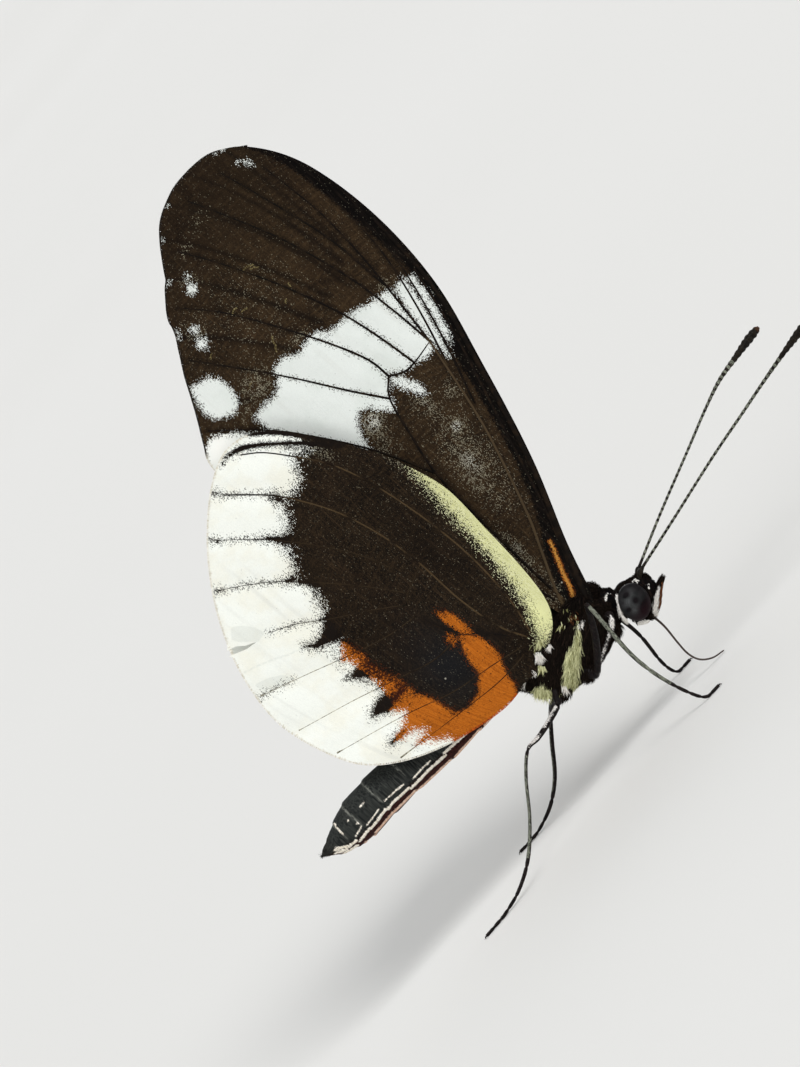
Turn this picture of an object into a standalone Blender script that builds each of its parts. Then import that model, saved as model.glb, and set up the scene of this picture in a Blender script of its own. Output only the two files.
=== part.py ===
"""A cydno longwing standing on its four walking legs with its wings closed, at life size.

Metres, +Z up, head towards +X, the animal's right side towards -Y. The shapes are given in millimetres,
as ahead of the right hind foot, out from the mid plane, and up from a base line just under the floor.
The origin lies on the floor, under the middle of the animal's length.
"""

import math

import bmesh
import bpy
from mathutils import Matrix, Vector, geometry

MM = 0.001

# Driving sizes, in millimetres.
BODY_MIDDLE = 21.42
FLOOR_LEVEL = 0.75
GAP = 0.3
WING_THICKNESS = 0.5
VEIN_RISE = 0.11
VEIN_HALF_WIDTH = 0.28
FOREWING_LAYER = 0.55
HINDWING_LAYER = 1.6
# The left wings close a little lower than the right: how far each side's forewing and hindwing are lifted.
WING_LIFTS = {"right": (0.1, 0.2), "left": (-0.06, -0.17)}
MARGIN_STEP = 1.0
VEIN_STEP = 2.0
MEMBRANE_STEP = 2.9
LEG_SIDES = 8
BODY_SIDES = 24
SIDES = (("right", -1), ("left", 1))

# The wing outlines and veins are seen from the side, as (ahead, up). Smooth curves run through them.
FOREWING_OUTLINE = (
    (20.3, 10.1), (21.3, 9.9), (22.35, 10.3), (23.95, 14.0), (26.8, 20.0), (29.35, 27.0),
    (31.3, 33.2), (31.95, 39.5), (31.32, 45.4), (29.5, 49.15), (27.3, 50.7), (24.6, 51.0),
    (22.8, 50.6), (21.6, 50.03), (20.7, 49.22), (19.9, 48.3), (19.27, 47.5), (18.95, 47.08),
    (18.5, 46.75), (17.9, 46.15), (17.3, 45.5), (16.97, 45.0), (16.85, 44.6), (16.55, 44.0),
    (16.15, 43.45), (15.55, 42.6), (14.85, 41.6), (14.2, 40.5), (13.4, 39.2), (12.3, 37.55), (11.65, 36.55),
    (11.4, 35.2), (12.4, 33.4), (15.0, 26.5), (17.7, 19.0), (19.6, 13.5),
)
HINDWING_OUTLINE = (
    (16.2, 9.7), (17.7, 10.2), (19.3, 11.35), (20.15, 12.9), (20.65, 15.6), (20.95, 19.0),
    (21.2, 22.7), (20.75, 25.3), (19.9, 28.0), (18.2, 31.5), (16.4, 34.4), (14.6, 35.75),
    (12.6, 36.05), (10.2, 35.0), (7.4, 32.8), (5.0, 30.1), (3.2, 27.2), (2.0, 24.2),
    (1.4, 20.8), (1.9, 17.6), (3.0, 14.8), (4.9, 12.85), (7.4, 11.4), (10.2, 10.4),
    (12.7, 9.85), (14.6, 9.9),
)
HINDWING_TEAR = ((2.75, 26.75), (4.3, 25.85), (2.55, 26.1))
FOREWING_VEINS = {
    "subcosta": ((22.1, 11.7), (24.6, 17.2), (27.2, 23.4), (29.5, 29.6), (31.0, 34.9)),
    "radius": ((21.4, 11.6), (22.9, 14.8), (24.5, 18.4), (26.1, 22.8), (27.3, 27.0), (28.0, 30.7)),
    "radius_1": ((26.9, 25.5), (28.8, 30.2), (30.3, 34.8), (31.2, 39.0)),
    "radius_2": ((27.6, 28.6), (29.2, 33.0), (30.4, 37.6), (30.9, 43.0)),
    "radial_stem": ((28.0, 30.7), (28.6, 34.2), (29.2, 38.2), (29.5, 42.4), (29.2, 47.4)),
    "radius_5": ((28.8, 35.6), (28.6, 40.6), (27.8, 45.2), (26.9, 49.4)),
    "media_1": ((28.0, 30.7), (27.9, 34.0), (27.5, 38.0), (26.4, 43.0), (25.0, 47.0), (24.0, 49.6)),
    "media_2": ((26.2, 30.5), (25.9, 33.3), (25.3, 36.7), (23.9, 41.2), (22.2, 45.3), (20.9, 47.9)),
    "media_3": ((24.3, 31.2), (24.2, 33.0), (23.3, 35.6), (21.6, 39.4), (19.9, 42.7), (18.0, 45.3)),
    "cubitus_1": ((23.2, 30.1), (21.7, 32.6), (19.8, 36.0), (17.9, 39.1), (15.9, 42.2)),
    "cubitus_2": ((21.5, 24.2), (19.9, 28.3), (17.9, 32.0), (15.7, 35.2), (13.1, 38.0)),
    "cubital_stem": ((20.9, 11.6), (21.0, 16.0), (21.2, 20.0), (21.5, 24.2), (22.3, 27.3),
                     (23.2, 30.1), (24.3, 31.2)),
    "cell_end": ((24.3, 31.2), (25.2, 30.6), (26.2, 30.5), (28.0, 30.7)),
    "anal": ((20.5, 12.2), (19.5, 17.0), (17.6, 23.0), (15.1, 29.0), (12.7, 34.8)),
}
HINDWING_VEINS = {
    "subcosta": ((17.7, 11.9), (18.4, 14.5), (18.8, 18.0), (18.7, 22.0), (18.1, 26.5),
                 (17.2, 29.8), (16.0, 32.0), (14.6, 34.1), (13.4, 35.2)),
    "radius": ((17.3, 11.9), (16.5, 14.0), (16.1, 17.2), (16.1, 20.8), (15.8, 24.0),
               (15.0, 27.3), (13.9, 29.8), (12.7, 31.8), (10.5, 34.3)),
    "media_1": ((15.0, 20.4), (14.0, 23.8), (12.6, 26.5), (10.8, 29.2), (9.3, 31.0), (8.1, 32.2)),
    "media_2": ((14.0, 20.1), (12.4, 22.6), (10.6, 25.0), (8.6, 27.4), (6.8, 29.0), (5.7, 29.8)),
    "media_3": ((13.35, 19.6), (11.3, 21.3), (9.0, 23.0), (7.2, 24.5), (5.5, 25.5)),
    "cubitus_1": ((13.2, 18.6), (11.0, 19.1), (8.6, 20.0), (5.5, 21.4), (2.4, 22.7)),
    "cubitus_2": ((14.3, 15.5), (12.0, 15.6), (9.5, 16.5), (6.0, 17.9), (2.1, 19.3)),
    "cell_floor": ((17.0, 11.9), (16.2, 13.4), (15.0, 14.7), (14.2, 15.7), (13.6, 17.2),
                   (13.2, 18.6), (13.35, 19.6)),
    "cell_end": ((13.35, 19.6), (14.0, 20.1), (15.0, 20.4), (16.1, 20.8)),
    "anal_2": ((16.6, 11.7), (14.2, 12.4), (11.0, 13.2), (7.6, 14.6), (2.9, 16.2)),
    "anal_3": ((16.2, 11.2), (13.5, 11.3), (9.5, 12.0), (5.4, 12.9)),
}

# Body sections from back to front: ahead, height of the middle, half height, half width.
ABDOMEN_SEGMENTS = (
    (-2.5, 11.98, 0.84, 0.72), (-1.4, 11.97, 1.33, 1.2), (0.0, 12.03, 1.7, 1.52),
    (2.1, 12.03, 1.74, 1.58), (4.5, 11.9, 1.72, 1.48), (7.5, 11.5, 1.66, 1.32),
    (10.3, 11.25, 1.48, 1.2), (12.7, 11.0, 1.26, 1.05),
)
ABDOMEN_TIP = (-3.5, 12.2, 0.14, 0.14)
ABDOMEN_ROOT = (14.25, 10.7, 0.85, 0.8)
SEGMENT_LAP = 0.09
THORAX_SECTIONS = (
    (14.55, 10.65, 0.9, 0.85), (15.0, 10.2, 1.75, 1.35), (15.7, 9.8, 2.4, 1.7), (16.8, 9.5, 2.75, 1.95),
    (18.1, 9.4, 2.95, 2.1), (19.5, 9.45, 2.95, 2.1), (20.7, 9.5, 2.75, 1.95), (21.7, 9.55, 2.4, 1.7),
    (22.5, 9.65, 2.0, 1.45), (23.1, 9.75, 1.4, 1.2), (23.6, 9.8, 0.8, 0.9), (23.85, 9.8, 0.4, 0.5),
)
HEAD_SECTIONS = (
    (22.9, 8.6, 0.6, 0.6), (23.1, 8.5, 1.0, 0.85), (23.5, 8.3, 1.32, 1.1), (24.1, 8.1, 1.5, 1.2),
    (24.8, 8.05, 1.43, 1.2), (25.4, 8.1, 1.2, 1.1), (25.9, 8.2, 0.85, 0.85), (26.2, 8.3, 0.45, 0.45),
)
EYE_CENTRE = (24.15, 1.2, 8.13)
EYE_RADII = (1.2, 0.74, 1.37)

# Limbs and feelers: ahead, out, up, radius. The first points lie inside what they grow from.
HIND_RIGHT = (
    (16.0, 0.7, 8.6, 0.55), (15.7, 1.0, 7.7, 0.52), (15.2, 1.5, 7.3, 0.36), (14.0, 2.6, 7.17, 0.4),
    (12.6, 3.6, 7.1, 0.34), (11.5, 4.3, 7.15, 0.26), (10.0, 4.7, 5.95, 0.27), (8.1, 5.2, 3.95, 0.26),
    (6.0, 5.6, 2.3, 0.26), (4.0, 5.9, 1.45, 0.25), (2.2, 6.05, 1.05, 0.25), (1.3, 6.15, 0.95, 0.27),
    (0.0, 6.25, 0.95, 0.27),
)
HIND_LEFT = (
    (16.0, 0.7, 8.6, 0.55), (15.8, 1.0, 7.7, 0.52), (15.6, 1.6, 7.2, 0.36), (15.1, 2.9, 6.9, 0.4),
    (14.6, 4.1, 6.4, 0.34), (14.2, 5.0, 6.0, 0.26), (12.9, 5.5, 4.6, 0.27), (11.3, 6.0, 2.85, 0.26),
    (9.6, 6.4, 1.75, 0.25), (7.9, 6.7, 1.15, 0.25), (6.9, 6.8, 0.95, 0.27), (5.6, 6.95, 0.95, 0.27),
)
MID_RIGHT = (
    (18.1, 0.9, 8.2, 0.55), (18.3, 1.2, 6.95, 0.52), (18.75, 1.9, 6.75, 0.36), (20.2, 3.4, 8.45, 0.4),
    (21.3, 4.6, 10.2, 0.34), (21.7, 5.3, 11.0, 0.26), (21.5, 6.3, 9.2, 0.27), (21.2, 7.1, 6.9, 0.26),
    (21.25, 7.5, 5.0, 0.26), (21.6, 7.8, 3.1, 0.25), (22.1, 8.0, 1.6, 0.25), (22.55, 8.1, 1.0, 0.26),
    (22.9, 8.15, 0.95, 0.27), (23.7, 8.2, 0.95, 0.27),
)
MID_LEFT = (
    (18.1, 0.9, 8.2, 0.55), (18.3, 1.2, 6.95, 0.52), (18.75, 1.9, 6.75, 0.36), (20.2, 3.3, 8.15, 0.4),
    (21.4, 4.3, 9.6, 0.34), (21.9, 5.0, 10.2, 0.26), (22.4, 5.7, 8.2, 0.27), (22.7, 6.4, 6.2, 0.26),
    (22.7, 6.9, 4.6, 0.26), (22.4, 7.5, 2.7, 0.25), (22.4, 7.9, 1.6, 0.25), (22.75, 8.05, 1.0, 0.26),
    (23.1, 8.12, 0.95, 0.27), (23.9, 8.2, 0.95, 0.27),
)
FORELEG = (
    (21.7, 0.7, 8.95, 0.4), (22.2, 1.75, 8.75, 0.32), (21.75, 2.05, 8.17, 0.28), (21.0, 2.0, 7.8, 0.26),
    (20.35, 1.87, 7.45, 0.25), (19.95, 1.77, 7.24, 0.2),
)
ANTENNA_RIGHT = (
    (25.3, 0.5, 8.6, 0.25), (25.95, 0.62, 9.05, 0.32), (26.5, 0.75, 9.2, 0.25), (30.0, 1.9, 9.95, 0.25),
    (35.0, 3.7, 11.1, 0.25), (40.0, 5.6, 12.1, 0.25), (43.3, 6.75, 12.75, 0.3), (44.9, 7.2, 13.0, 0.42),
    (45.9, 7.45, 13.15, 0.4), (46.3, 7.55, 13.2, 0.14),
)
ANTENNA_LEFT = (
    (25.3, 0.5, 8.6, 0.25), (25.95, 0.62, 9.05, 0.32), (26.5, 0.8, 9.25, 0.25), (30.0, 2.1, 10.35, 0.25),
    (34.5, 3.9, 11.6, 0.25), (37.6, 5.3, 12.45, 0.25), (39.8, 6.15, 12.95, 0.25), (41.8, 6.85, 13.22, 0.3),
    (43.3, 7.3, 13.35, 0.42), (44.1, 7.48, 13.38, 0.4), (44.5, 7.58, 13.37, 0.14),
)
PALP = (
    (23.9, 0.7, 7.1, 0.3), (24.25, 0.75, 6.42, 0.33), (25.0, 0.72, 6.6, 0.37), (25.7, 0.67, 6.97, 0.34),
    (26.3, 0.6, 7.35, 0.26), (26.75, 0.55, 7.65, 0.1),
)
PROBOSCIS = (
    (24.1, 0.0, 7.0, 0.27), (24.25, 0.0, 6.0, 0.26), (24.25, 0.0, 5.0, 0.25), (24.05, 0.0, 3.7, 0.25),
    (23.95, 0.0, 2.6, 0.25), (24.2, 0.0, 1.75, 0.24), (24.9, 0.0, 1.25, 0.2), (25.8, 0.0, 1.05, 0.1),
)

MATERIALS = {
    "wing_scales": ((0.05, 0.037, 0.03), 0.75),
    "body_hair": ((0.02, 0.018, 0.018), 0.85),
    "leg_shell": ((0.03, 0.025, 0.025), 0.5),
    "eye_glass": ((0.015, 0.012, 0.02), 0.2),
    "tongue": ((0.04, 0.02, 0.015), 0.45),
}


def clear_scene():
    for obj in list(bpy.data.objects):
        bpy.data.objects.remove(obj, do_unlink=True)


def material(name):
    found = bpy.data.materials.get(name)
    if found:
        return found
    colour, roughness = MATERIALS[name]
    made = bpy.data.materials.new(name)
    made.use_nodes = True
    shader = made.node_tree.nodes["Principled BSDF"]
    shader.inputs["Base Color"].default_value = (*colour, 1.0)
    shader.inputs["Roughness"].default_value = roughness
    shader.inputs["Metallic"].default_value = 0.0
    return made


def place(ahead, out, up):
    """A point in metres about the origin."""
    return Vector(((ahead - BODY_MIDDLE) * MM, out * MM, (up - FLOOR_LEVEL) * MM))


def new_object(name, mesh, finish):
    mesh.materials.clear()
    mesh.materials.append(material(finish))
    obj = bpy.data.objects.new(name, mesh)
    bpy.context.scene.collection.objects.link(obj)
    return obj


def object_from(bm, name, finish):
    bmesh.ops.recalc_face_normals(bm, faces=bm.faces)
    mesh = bpy.data.meshes.new(name)
    bm.to_mesh(mesh)
    bm.free()
    mesh.shade_smooth()
    mesh.set_sharp_from_angle(angle=math.radians(40))
    return new_object(name, mesh, finish)


def smooth_line(points, step, closed=False):
    """Points about a step apart on a Catmull-Rom curve through the given points, of any dimension."""
    points = [Vector(p) for p in points]
    count = len(points)
    spans = count if closed else count - 1
    line = []
    for i in range(spans):
        before = points[i - 1] if closed or i > 0 else points[0] * 2 - points[1]
        start = points[i]
        end = points[(i + 1) % count]
        after = points[(i + 2) % count] if closed or i + 2 < count else end * 2 - start
        pieces = max(1, round((end - start).length / step))
        for k in range(pieces):
            t = k / pieces
            line.append(0.5 * (2 * start + (end - before) * t
                               + (2 * before - 5 * start + 4 * end - after) * t * t
                               + (3 * start - 3 * end + after - before) * t * t * t))
    if not closed:
        line.append(points[-1])
    return line


def largest_shell(bm):
    """Deletes every closed surface of the mesh but the largest."""
    shells = []
    left = set(bm.verts)
    while left:
        stack = [left.pop()]
        shell = set(stack)
        while stack:
            for edge in stack.pop().link_edges:
                for vert in edge.verts:
                    if vert in left:
                        left.remove(vert)
                        shell.add(vert)
                        stack.append(vert)
        shells.append(shell)
    keep = max(shells, key=shell_volume)
    bmesh.ops.delete(bm, geom=[v for v in bm.verts if v not in keep], context="VERTS")


def shell_volume(shell):
    faces = {face for vert in shell for face in vert.link_faces}
    total = 0.0
    for face in faces:
        first = face.verts[0].co
        for a, b in zip(face.verts[1:], face.verts[2:]):
            total += first.cross(a.co).dot(b.co) / 6
    return abs(total)


def room_round(obj):
    """A copy of a piece, swollen on every side by the gap that its neighbours keep from it."""
    bm = bmesh.new()
    bm.from_mesh(obj.data)
    bm.normal_update()
    shifts = [vert.normal * vert.calc_shell_factor() * GAP * MM for vert in bm.verts]
    for vert, shift in zip(bm.verts, shifts):
        vert.co += shift
    room = object_from(bm, "room_round_" + obj.name, "body_hair")
    room.hide_render = True
    room.display_type = "WIRE"
    return room


def cut_clear(obj, *rooms):
    """Cuts a piece back so that it meets its neighbours face to face across the gap."""
    for room in rooms:
        cut = obj.modifiers.new("clear", "BOOLEAN")
        cut.operation = "DIFFERENCE"
        cut.solver = "EXACT"
        cut.object = room
    graph = bpy.context.evaluated_depsgraph_get()
    mesh = bpy.data.meshes.new_from_object(obj.evaluated_get(graph))
    bm = bmesh.new()
    bm.from_mesh(mesh)
    bmesh.ops.triangulate(bm, faces=bm.faces)
    largest_shell(bm)
    bm.to_mesh(mesh)
    bm.free()
    obj.modifiers.clear()
    obj.data = mesh


def lofted(name, sections, finish):
    """A closed body through upright ellipses across the body's length."""
    bm = bmesh.new()
    loops = []
    turn = Matrix.Rotation(math.radians(90), 4, "Y")
    for ahead, height, half_height, half_width in sections:
        size = Matrix.Diagonal((half_height * MM, half_width * MM, 1.0, 1.0))
        where = Matrix.Translation(place(ahead, 0.0, height))
        matrix = where @ turn @ size
        ring = bmesh.ops.create_circle(bm, segments=BODY_SIDES, radius=1.0, matrix=matrix)
        loops.append(list({edge for vert in ring["verts"] for edge in vert.link_edges}))
    for first, second in zip(loops, loops[1:]):
        bmesh.ops.bridge_loops(bm, edges=first + second)
    for loop in (loops[0], loops[-1]):
        bmesh.ops.contextual_create(bm, geom=loop)
    return object_from(bm, name, finish)


def tube(name, points, side, finish, step=1.0):
    """A tapering tube along a smooth line. Points are (ahead, out, up, radius)."""
    curve = bpy.data.curves.new(name, "CURVE")
    curve.dimensions = "3D"
    curve.bevel_depth = MM
    curve.bevel_resolution = LEG_SIDES // 2 - 2
    curve.use_fill_caps = True
    line = smooth_line(points, step)
    spline = curve.splines.new("POLY")
    spline.points.add(len(line) - 1)
    for point, (ahead, out, up, radius) in zip(spline.points, line):
        point.co = (*place(ahead, side * out, up), 1.0)
        point.radius = radius
    source = bpy.data.objects.new(name, curve)
    bpy.context.scene.collection.objects.link(source)
    graph = bpy.context.evaluated_depsgraph_get()
    mesh = bpy.data.meshes.new_from_object(source.evaluated_get(graph))
    bpy.data.objects.remove(source, do_unlink=True)
    bm = bmesh.new()
    bm.from_mesh(mesh)
    bmesh.ops.remove_doubles(bm, verts=bm.verts, dist=0.001 * MM)
    bmesh.ops.triangulate(bm, faces=bm.faces)
    return object_from(bm, name, finish)


def ellipsoid(name, centre, radii, side, finish):
    bm = bmesh.new()
    ahead, out, up = centre
    size = Matrix.Diagonal([radius * MM for radius in radii] + [1.0])
    where = Matrix.Translation(place(ahead, side * out, up))
    bmesh.ops.create_uvsphere(bm, u_segments=20, v_segments=12, radius=1.0, matrix=where @ size)
    return object_from(bm, name, finish)


def smoothstep(low, high, value):
    t = min(1.0, max(0.0, (value - low) / (high - low)))
    return t * t * (3 - 2 * t)


def forewing_layer(ahead, up):
    """Distance of the forewing's middle from the mid plane: wide at the root, then close, then parting."""
    return FOREWING_LAYER + 0.9 * (1 - smoothstep(10.5, 16.0, up)) + 0.3 * smoothstep(36.0, 51.0, up)


def hindwing_layer(ahead, up):
    """The hindwing lies outside the forewing, cups the abdomen, dips to its root and bows out behind."""
    cup = 0.65 * (1 - smoothstep(12.5, 21.0, up))
    from_root = math.hypot(ahead - 16.9, up - 10.2)
    root = 0.62 * math.exp(-(from_root / 1.5) ** 2)
    return HINDWING_LAYER + cup - root + 0.35 * smoothstep(9.0, 24.0, from_root)


def crest_distance(point, crests):
    nearest = math.inf
    for start, end in crests:
        along = end - start
        t = min(1.0, max(0.0, (point - start).dot(along) / along.length_squared))
        nearest = min(nearest, (start + along * t - point).length)
    return nearest


def beside(line, shift):
    """The line moved sideways by shift, leaving out its first point, which may lie on another vein."""
    moved = []
    for i in range(1, len(line)):
        ahead = line[min(i + 1, len(line) - 1)] - line[i - 1]
        moved.append(line[i] + Vector((-ahead.y, ahead.x)).normalized() * shift)
    return moved


def membrane_points(margin, crests):
    """A loose grid of points over the membrane, away from its edge and its veins."""
    inside = []
    low = Vector((min(p.x for p in margin), min(p.y for p in margin)))
    high = Vector((max(p.x for p in margin), max(p.y for p in margin)))
    edges = list(zip(margin, margin[1:] + margin[:1]))
    rows = int((high.y - low.y) / MEMBRANE_STEP) + 1
    columns = int((high.x - low.x) / MEMBRANE_STEP) + 1
    for row in range(rows):
        for column in range(columns):
            point = low + Vector((column + 0.5 * (row % 2), row)) * MEMBRANE_STEP
            crossings = sum((a.y > point.y) != (b.y > point.y)
                            and point.x < a.x + (b.x - a.x) * (point.y - a.y) / (b.y - a.y)
                            for a, b in edges)
            clear = crest_distance(point, crests + edges) > MEMBRANE_STEP * 0.3
            if crossings % 2 and clear:
                inside.append(point)
    return inside


def veined_sheet(outline, veins, tear):
    """The wing laid flat: points, triangles, and each point's height above the membrane."""
    margin = smooth_line(outline, MARGIN_STEP, closed=True)
    if tear:
        mouth = [Vector(p) for p in tear]
        first = min(range(len(margin)), key=lambda i: (margin[i] - mouth[0]).length)
        last = min(range(len(margin)), key=lambda i: (margin[i] - mouth[-1]).length)
        margin = margin[:min(first, last)] + mouth + margin[max(first, last) + 1:]
    lines = [smooth_line(vein, VEIN_STEP) for vein in veins.values()]
    crests = [pair for line in lines for pair in zip(line, line[1:])]
    points = list(margin)
    constraints = []
    for line in lines:
        for run in (line, beside(line, VEIN_HALF_WIDTH), beside(line, -VEIN_HALF_WIDTH)):
            start = len(points)
            points += run
            constraints += [(start + i, start + i + 1) for i in range(len(run) - 1)]
    points += membrane_points(margin, crests)
    outer = [list(range(len(margin)))]
    found = geometry.delaunay_2d_cdt(points, constraints, outer, 1, 0.02)
    flat, triangles = found[0], found[2]
    heights = [VEIN_RISE * max(0.0, 1 - crest_distance(p, crests) / VEIN_HALF_WIDTH) for p in flat]
    return flat, triangles, heights


def wing(name, outline, veins, layer, side, lift, tear=None):
    """A closed sheet of even thickness, its veins raised on both faces, split alike on both."""
    flat, triangles, heights = veined_sheet(outline, veins, tear)
    bm = bmesh.new()
    faces = []
    for outward in (1, -1):
        verts = []
        for point, height in zip(flat, heights):
            out = layer(point.x, point.y) + outward * (WING_THICKNESS / 2 + height)
            verts.append(bm.verts.new(place(point.x, side * out, point.y + lift)))
        faces.append(verts)
    upper, lower = faces
    edge_use = {}
    for a, b, c in triangles:
        bm.faces.new((upper[a], upper[b], upper[c]))
        bm.faces.new((lower[c], lower[b], lower[a]))
        for pair in ((a, b), (b, c), (c, a)):
            edge_use[frozenset(pair)] = None if frozenset(pair) in edge_use else pair
    for pair in filter(None, edge_use.values()):
        a, b = pair
        bm.faces.new((upper[b], upper[a], lower[a]))
        bm.faces.new((upper[b], lower[a], lower[b]))
    loose = [vert for vert in bm.verts if not vert.link_faces]
    bmesh.ops.delete(bm, geom=loose, context="VERTS")
    return object_from(bm, name, "wing_scales")


def abdomen_sections():
    """Each segment starts a little narrower than the one before it ended, as the rings overlap."""
    sections = [ABDOMEN_TIP]
    rings = ABDOMEN_SEGMENTS + (ABDOMEN_ROOT,)
    for back, front in zip(rings, rings[1:]):
        lap = SEGMENT_LAP
        sections.append((back[0], back[1], back[2] + lap / 2, back[3] + lap / 2))
        for share in (0.5, 0.94):
            ring = [b + (f - b) * share for b, f in zip(back, front)]
            thin = lap / 2 if share > 0.9 else 0.0
            sections.append((ring[0], ring[1], ring[2] - thin, ring[3] - thin))
    sections.append(ABDOMEN_ROOT)
    return sections


def stand_flat(obj):
    """Cuts a foot off level with the floor and closes it with one flat face."""
    bm = bmesh.new()
    bm.from_mesh(obj.data)
    geom = list(bm.verts) + list(bm.edges) + list(bm.faces)
    cut = bmesh.ops.bisect_plane(bm, geom=geom, plane_co=(0, 0, 0), plane_no=(0, 0, -1),
                                 clear_outer=True)
    rim = [item for item in cut["geom_cut"] if isinstance(item, bmesh.types.BMEdge)]
    bmesh.ops.edgeloop_fill(bm, edges=rim)
    bmesh.ops.triangulate(bm, faces=bm.faces)
    bmesh.ops.recalc_face_normals(bm, faces=bm.faces)
    bm.to_mesh(obj.data)
    bm.free()


def build_head():
    """The head between its eyes, with the tongue, the palps and the feelers that grow from it."""
    head = lofted("head", HEAD_SECTIONS, "body_hair")
    eyes = [ellipsoid("eye_" + suffix, EYE_CENTRE, EYE_RADII, side, "eye_glass") for suffix, side in SIDES]
    rooms = [room_round(piece) for piece in (head, *eyes)]
    cut_clear(head, *rooms[1:])
    tongue = tube("proboscis", PROBOSCIS, 1, "tongue", step=0.7)
    tongue_room = room_round(tongue)
    cut_clear(tongue, rooms[0])
    for (suffix, side), antenna in zip(SIDES, (ANTENNA_RIGHT, ANTENNA_LEFT)):
        feeler = tube("antenna_" + suffix, antenna, side, "leg_shell", step=1.6)
        palp = tube("palp_" + suffix, PALP, side, "body_hair", step=0.5)
        for piece in (feeler, palp):
            cut_clear(piece, tongue_room, *rooms)
    return rooms


def build_trunk(head_rooms):
    """The thorax, whose collar reaches round the back of the head, and the abdomen behind it."""
    lofted("abdomen", abdomen_sections(), "body_hair")
    thorax = lofted("thorax", THORAX_SECTIONS, "body_hair")
    thorax_room = room_round(thorax)
    cut_clear(thorax, *head_rooms)
    return thorax_room


def build_legs(thorax_room):
    for (suffix, side), mid, hind in zip(SIDES, (MID_RIGHT, MID_LEFT), (HIND_RIGHT, HIND_LEFT)):
        for name, points in (("foreleg_", FORELEG), ("midleg_", mid), ("hindleg_", hind)):
            leg = tube(name + suffix, points, side, "leg_shell")
            cut_clear(leg, thorax_room)
            if points is not FORELEG:
                stand_flat(leg)


def build_wings(thorax_room):
    for (suffix, side), tear in zip(SIDES, (HINDWING_TEAR, None)):
        fore_lift, hind_lift = WING_LIFTS[suffix]
        fore = wing("forewing_" + suffix, FOREWING_OUTLINE, FOREWING_VEINS, forewing_layer, side, fore_lift)
        hind = wing("hindwing_" + suffix, HINDWING_OUTLINE, HINDWING_VEINS, hindwing_layer, side, hind_lift,
                    tear)
        cut_clear(fore, thorax_room)
        cut_clear(hind, thorax_room)


def main():
    clear_scene()
    thorax_room = build_trunk(build_head())
    build_legs(thorax_room)
    build_wings(thorax_room)


main()
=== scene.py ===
"""The look of a cydno longwing butterfly standing with its wings closed.

Pieces are made in millimetres, as ahead of the right hind foot, out from the mid plane and up from a base
line just under the floor, and are then moved to metres about the origin on the floor.
"""

import math
from collections import namedtuple

import bmesh
import bpy
import numpy as np
from mathutils import Matrix, Vector


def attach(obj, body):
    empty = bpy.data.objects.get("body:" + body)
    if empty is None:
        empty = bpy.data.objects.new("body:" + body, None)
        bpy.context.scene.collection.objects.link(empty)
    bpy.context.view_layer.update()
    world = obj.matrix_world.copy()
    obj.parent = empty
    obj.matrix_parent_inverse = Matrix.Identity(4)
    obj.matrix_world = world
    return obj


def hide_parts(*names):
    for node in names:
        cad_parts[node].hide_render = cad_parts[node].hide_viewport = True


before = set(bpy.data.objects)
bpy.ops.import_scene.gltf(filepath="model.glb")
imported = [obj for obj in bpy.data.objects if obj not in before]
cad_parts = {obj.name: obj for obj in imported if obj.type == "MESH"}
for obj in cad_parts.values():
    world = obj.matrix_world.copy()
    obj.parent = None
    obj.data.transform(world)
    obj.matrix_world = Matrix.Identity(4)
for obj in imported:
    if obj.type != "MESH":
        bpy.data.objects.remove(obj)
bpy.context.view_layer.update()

MM = 0.001
BODY_MIDDLE = 21.42
FLOOR_LEVEL = 0.75
SIDES = (("right", -1), ("left", 1))
TO_METRES = Matrix.Scale(MM, 4) @ Matrix.Translation((-BODY_MIDDLE, 0, -FLOOR_LEVEL))

# The photograph's camera: the point it looks at, how far it looks down and is turned, and its lens.
LOOK_AHEAD = 16.73
LOOK_HEIGHT = 23.29
LOOK_DOWN = math.radians(7.0)
PHOTO_TURN = math.radians(48.0)
CAMERA_DISTANCE = 0.5
SENSOR = 36.0
LENS = 242.9
# Light: the sky's strength, and lamps as (name, direction, strength, spread in degrees).
SKY_STRENGTH = 0.5
LAMPS = (("key", (0.55, -0.75, 0.8), 1.75, 25.0), ("fill", (-0.7, -0.5, 0.5), 0.7, 60.0),
         ("back", (0.1, 0.9, 0.7), 0.5, 60.0))

# Depths that stand for no field at all on the wings, and for no marking on the body.
NOWHERE = -9.0
OUTSIDE = -1.0
# Sizes of the wings' squares, of the skin's, and thickness of the wings inside and at the rim.
WING_STEP = 0.2
SKIN_STEP = 0.09
MEMBRANE = 0.12
RIM = 0.05
THORAX_HAIRS = 13000
HEAD_HAIRS = 12000
ABDOMEN_SCALES = 14000
# How far a leg narrows at its joints, as a share.
JOINT_PINCH = 0.35

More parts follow.
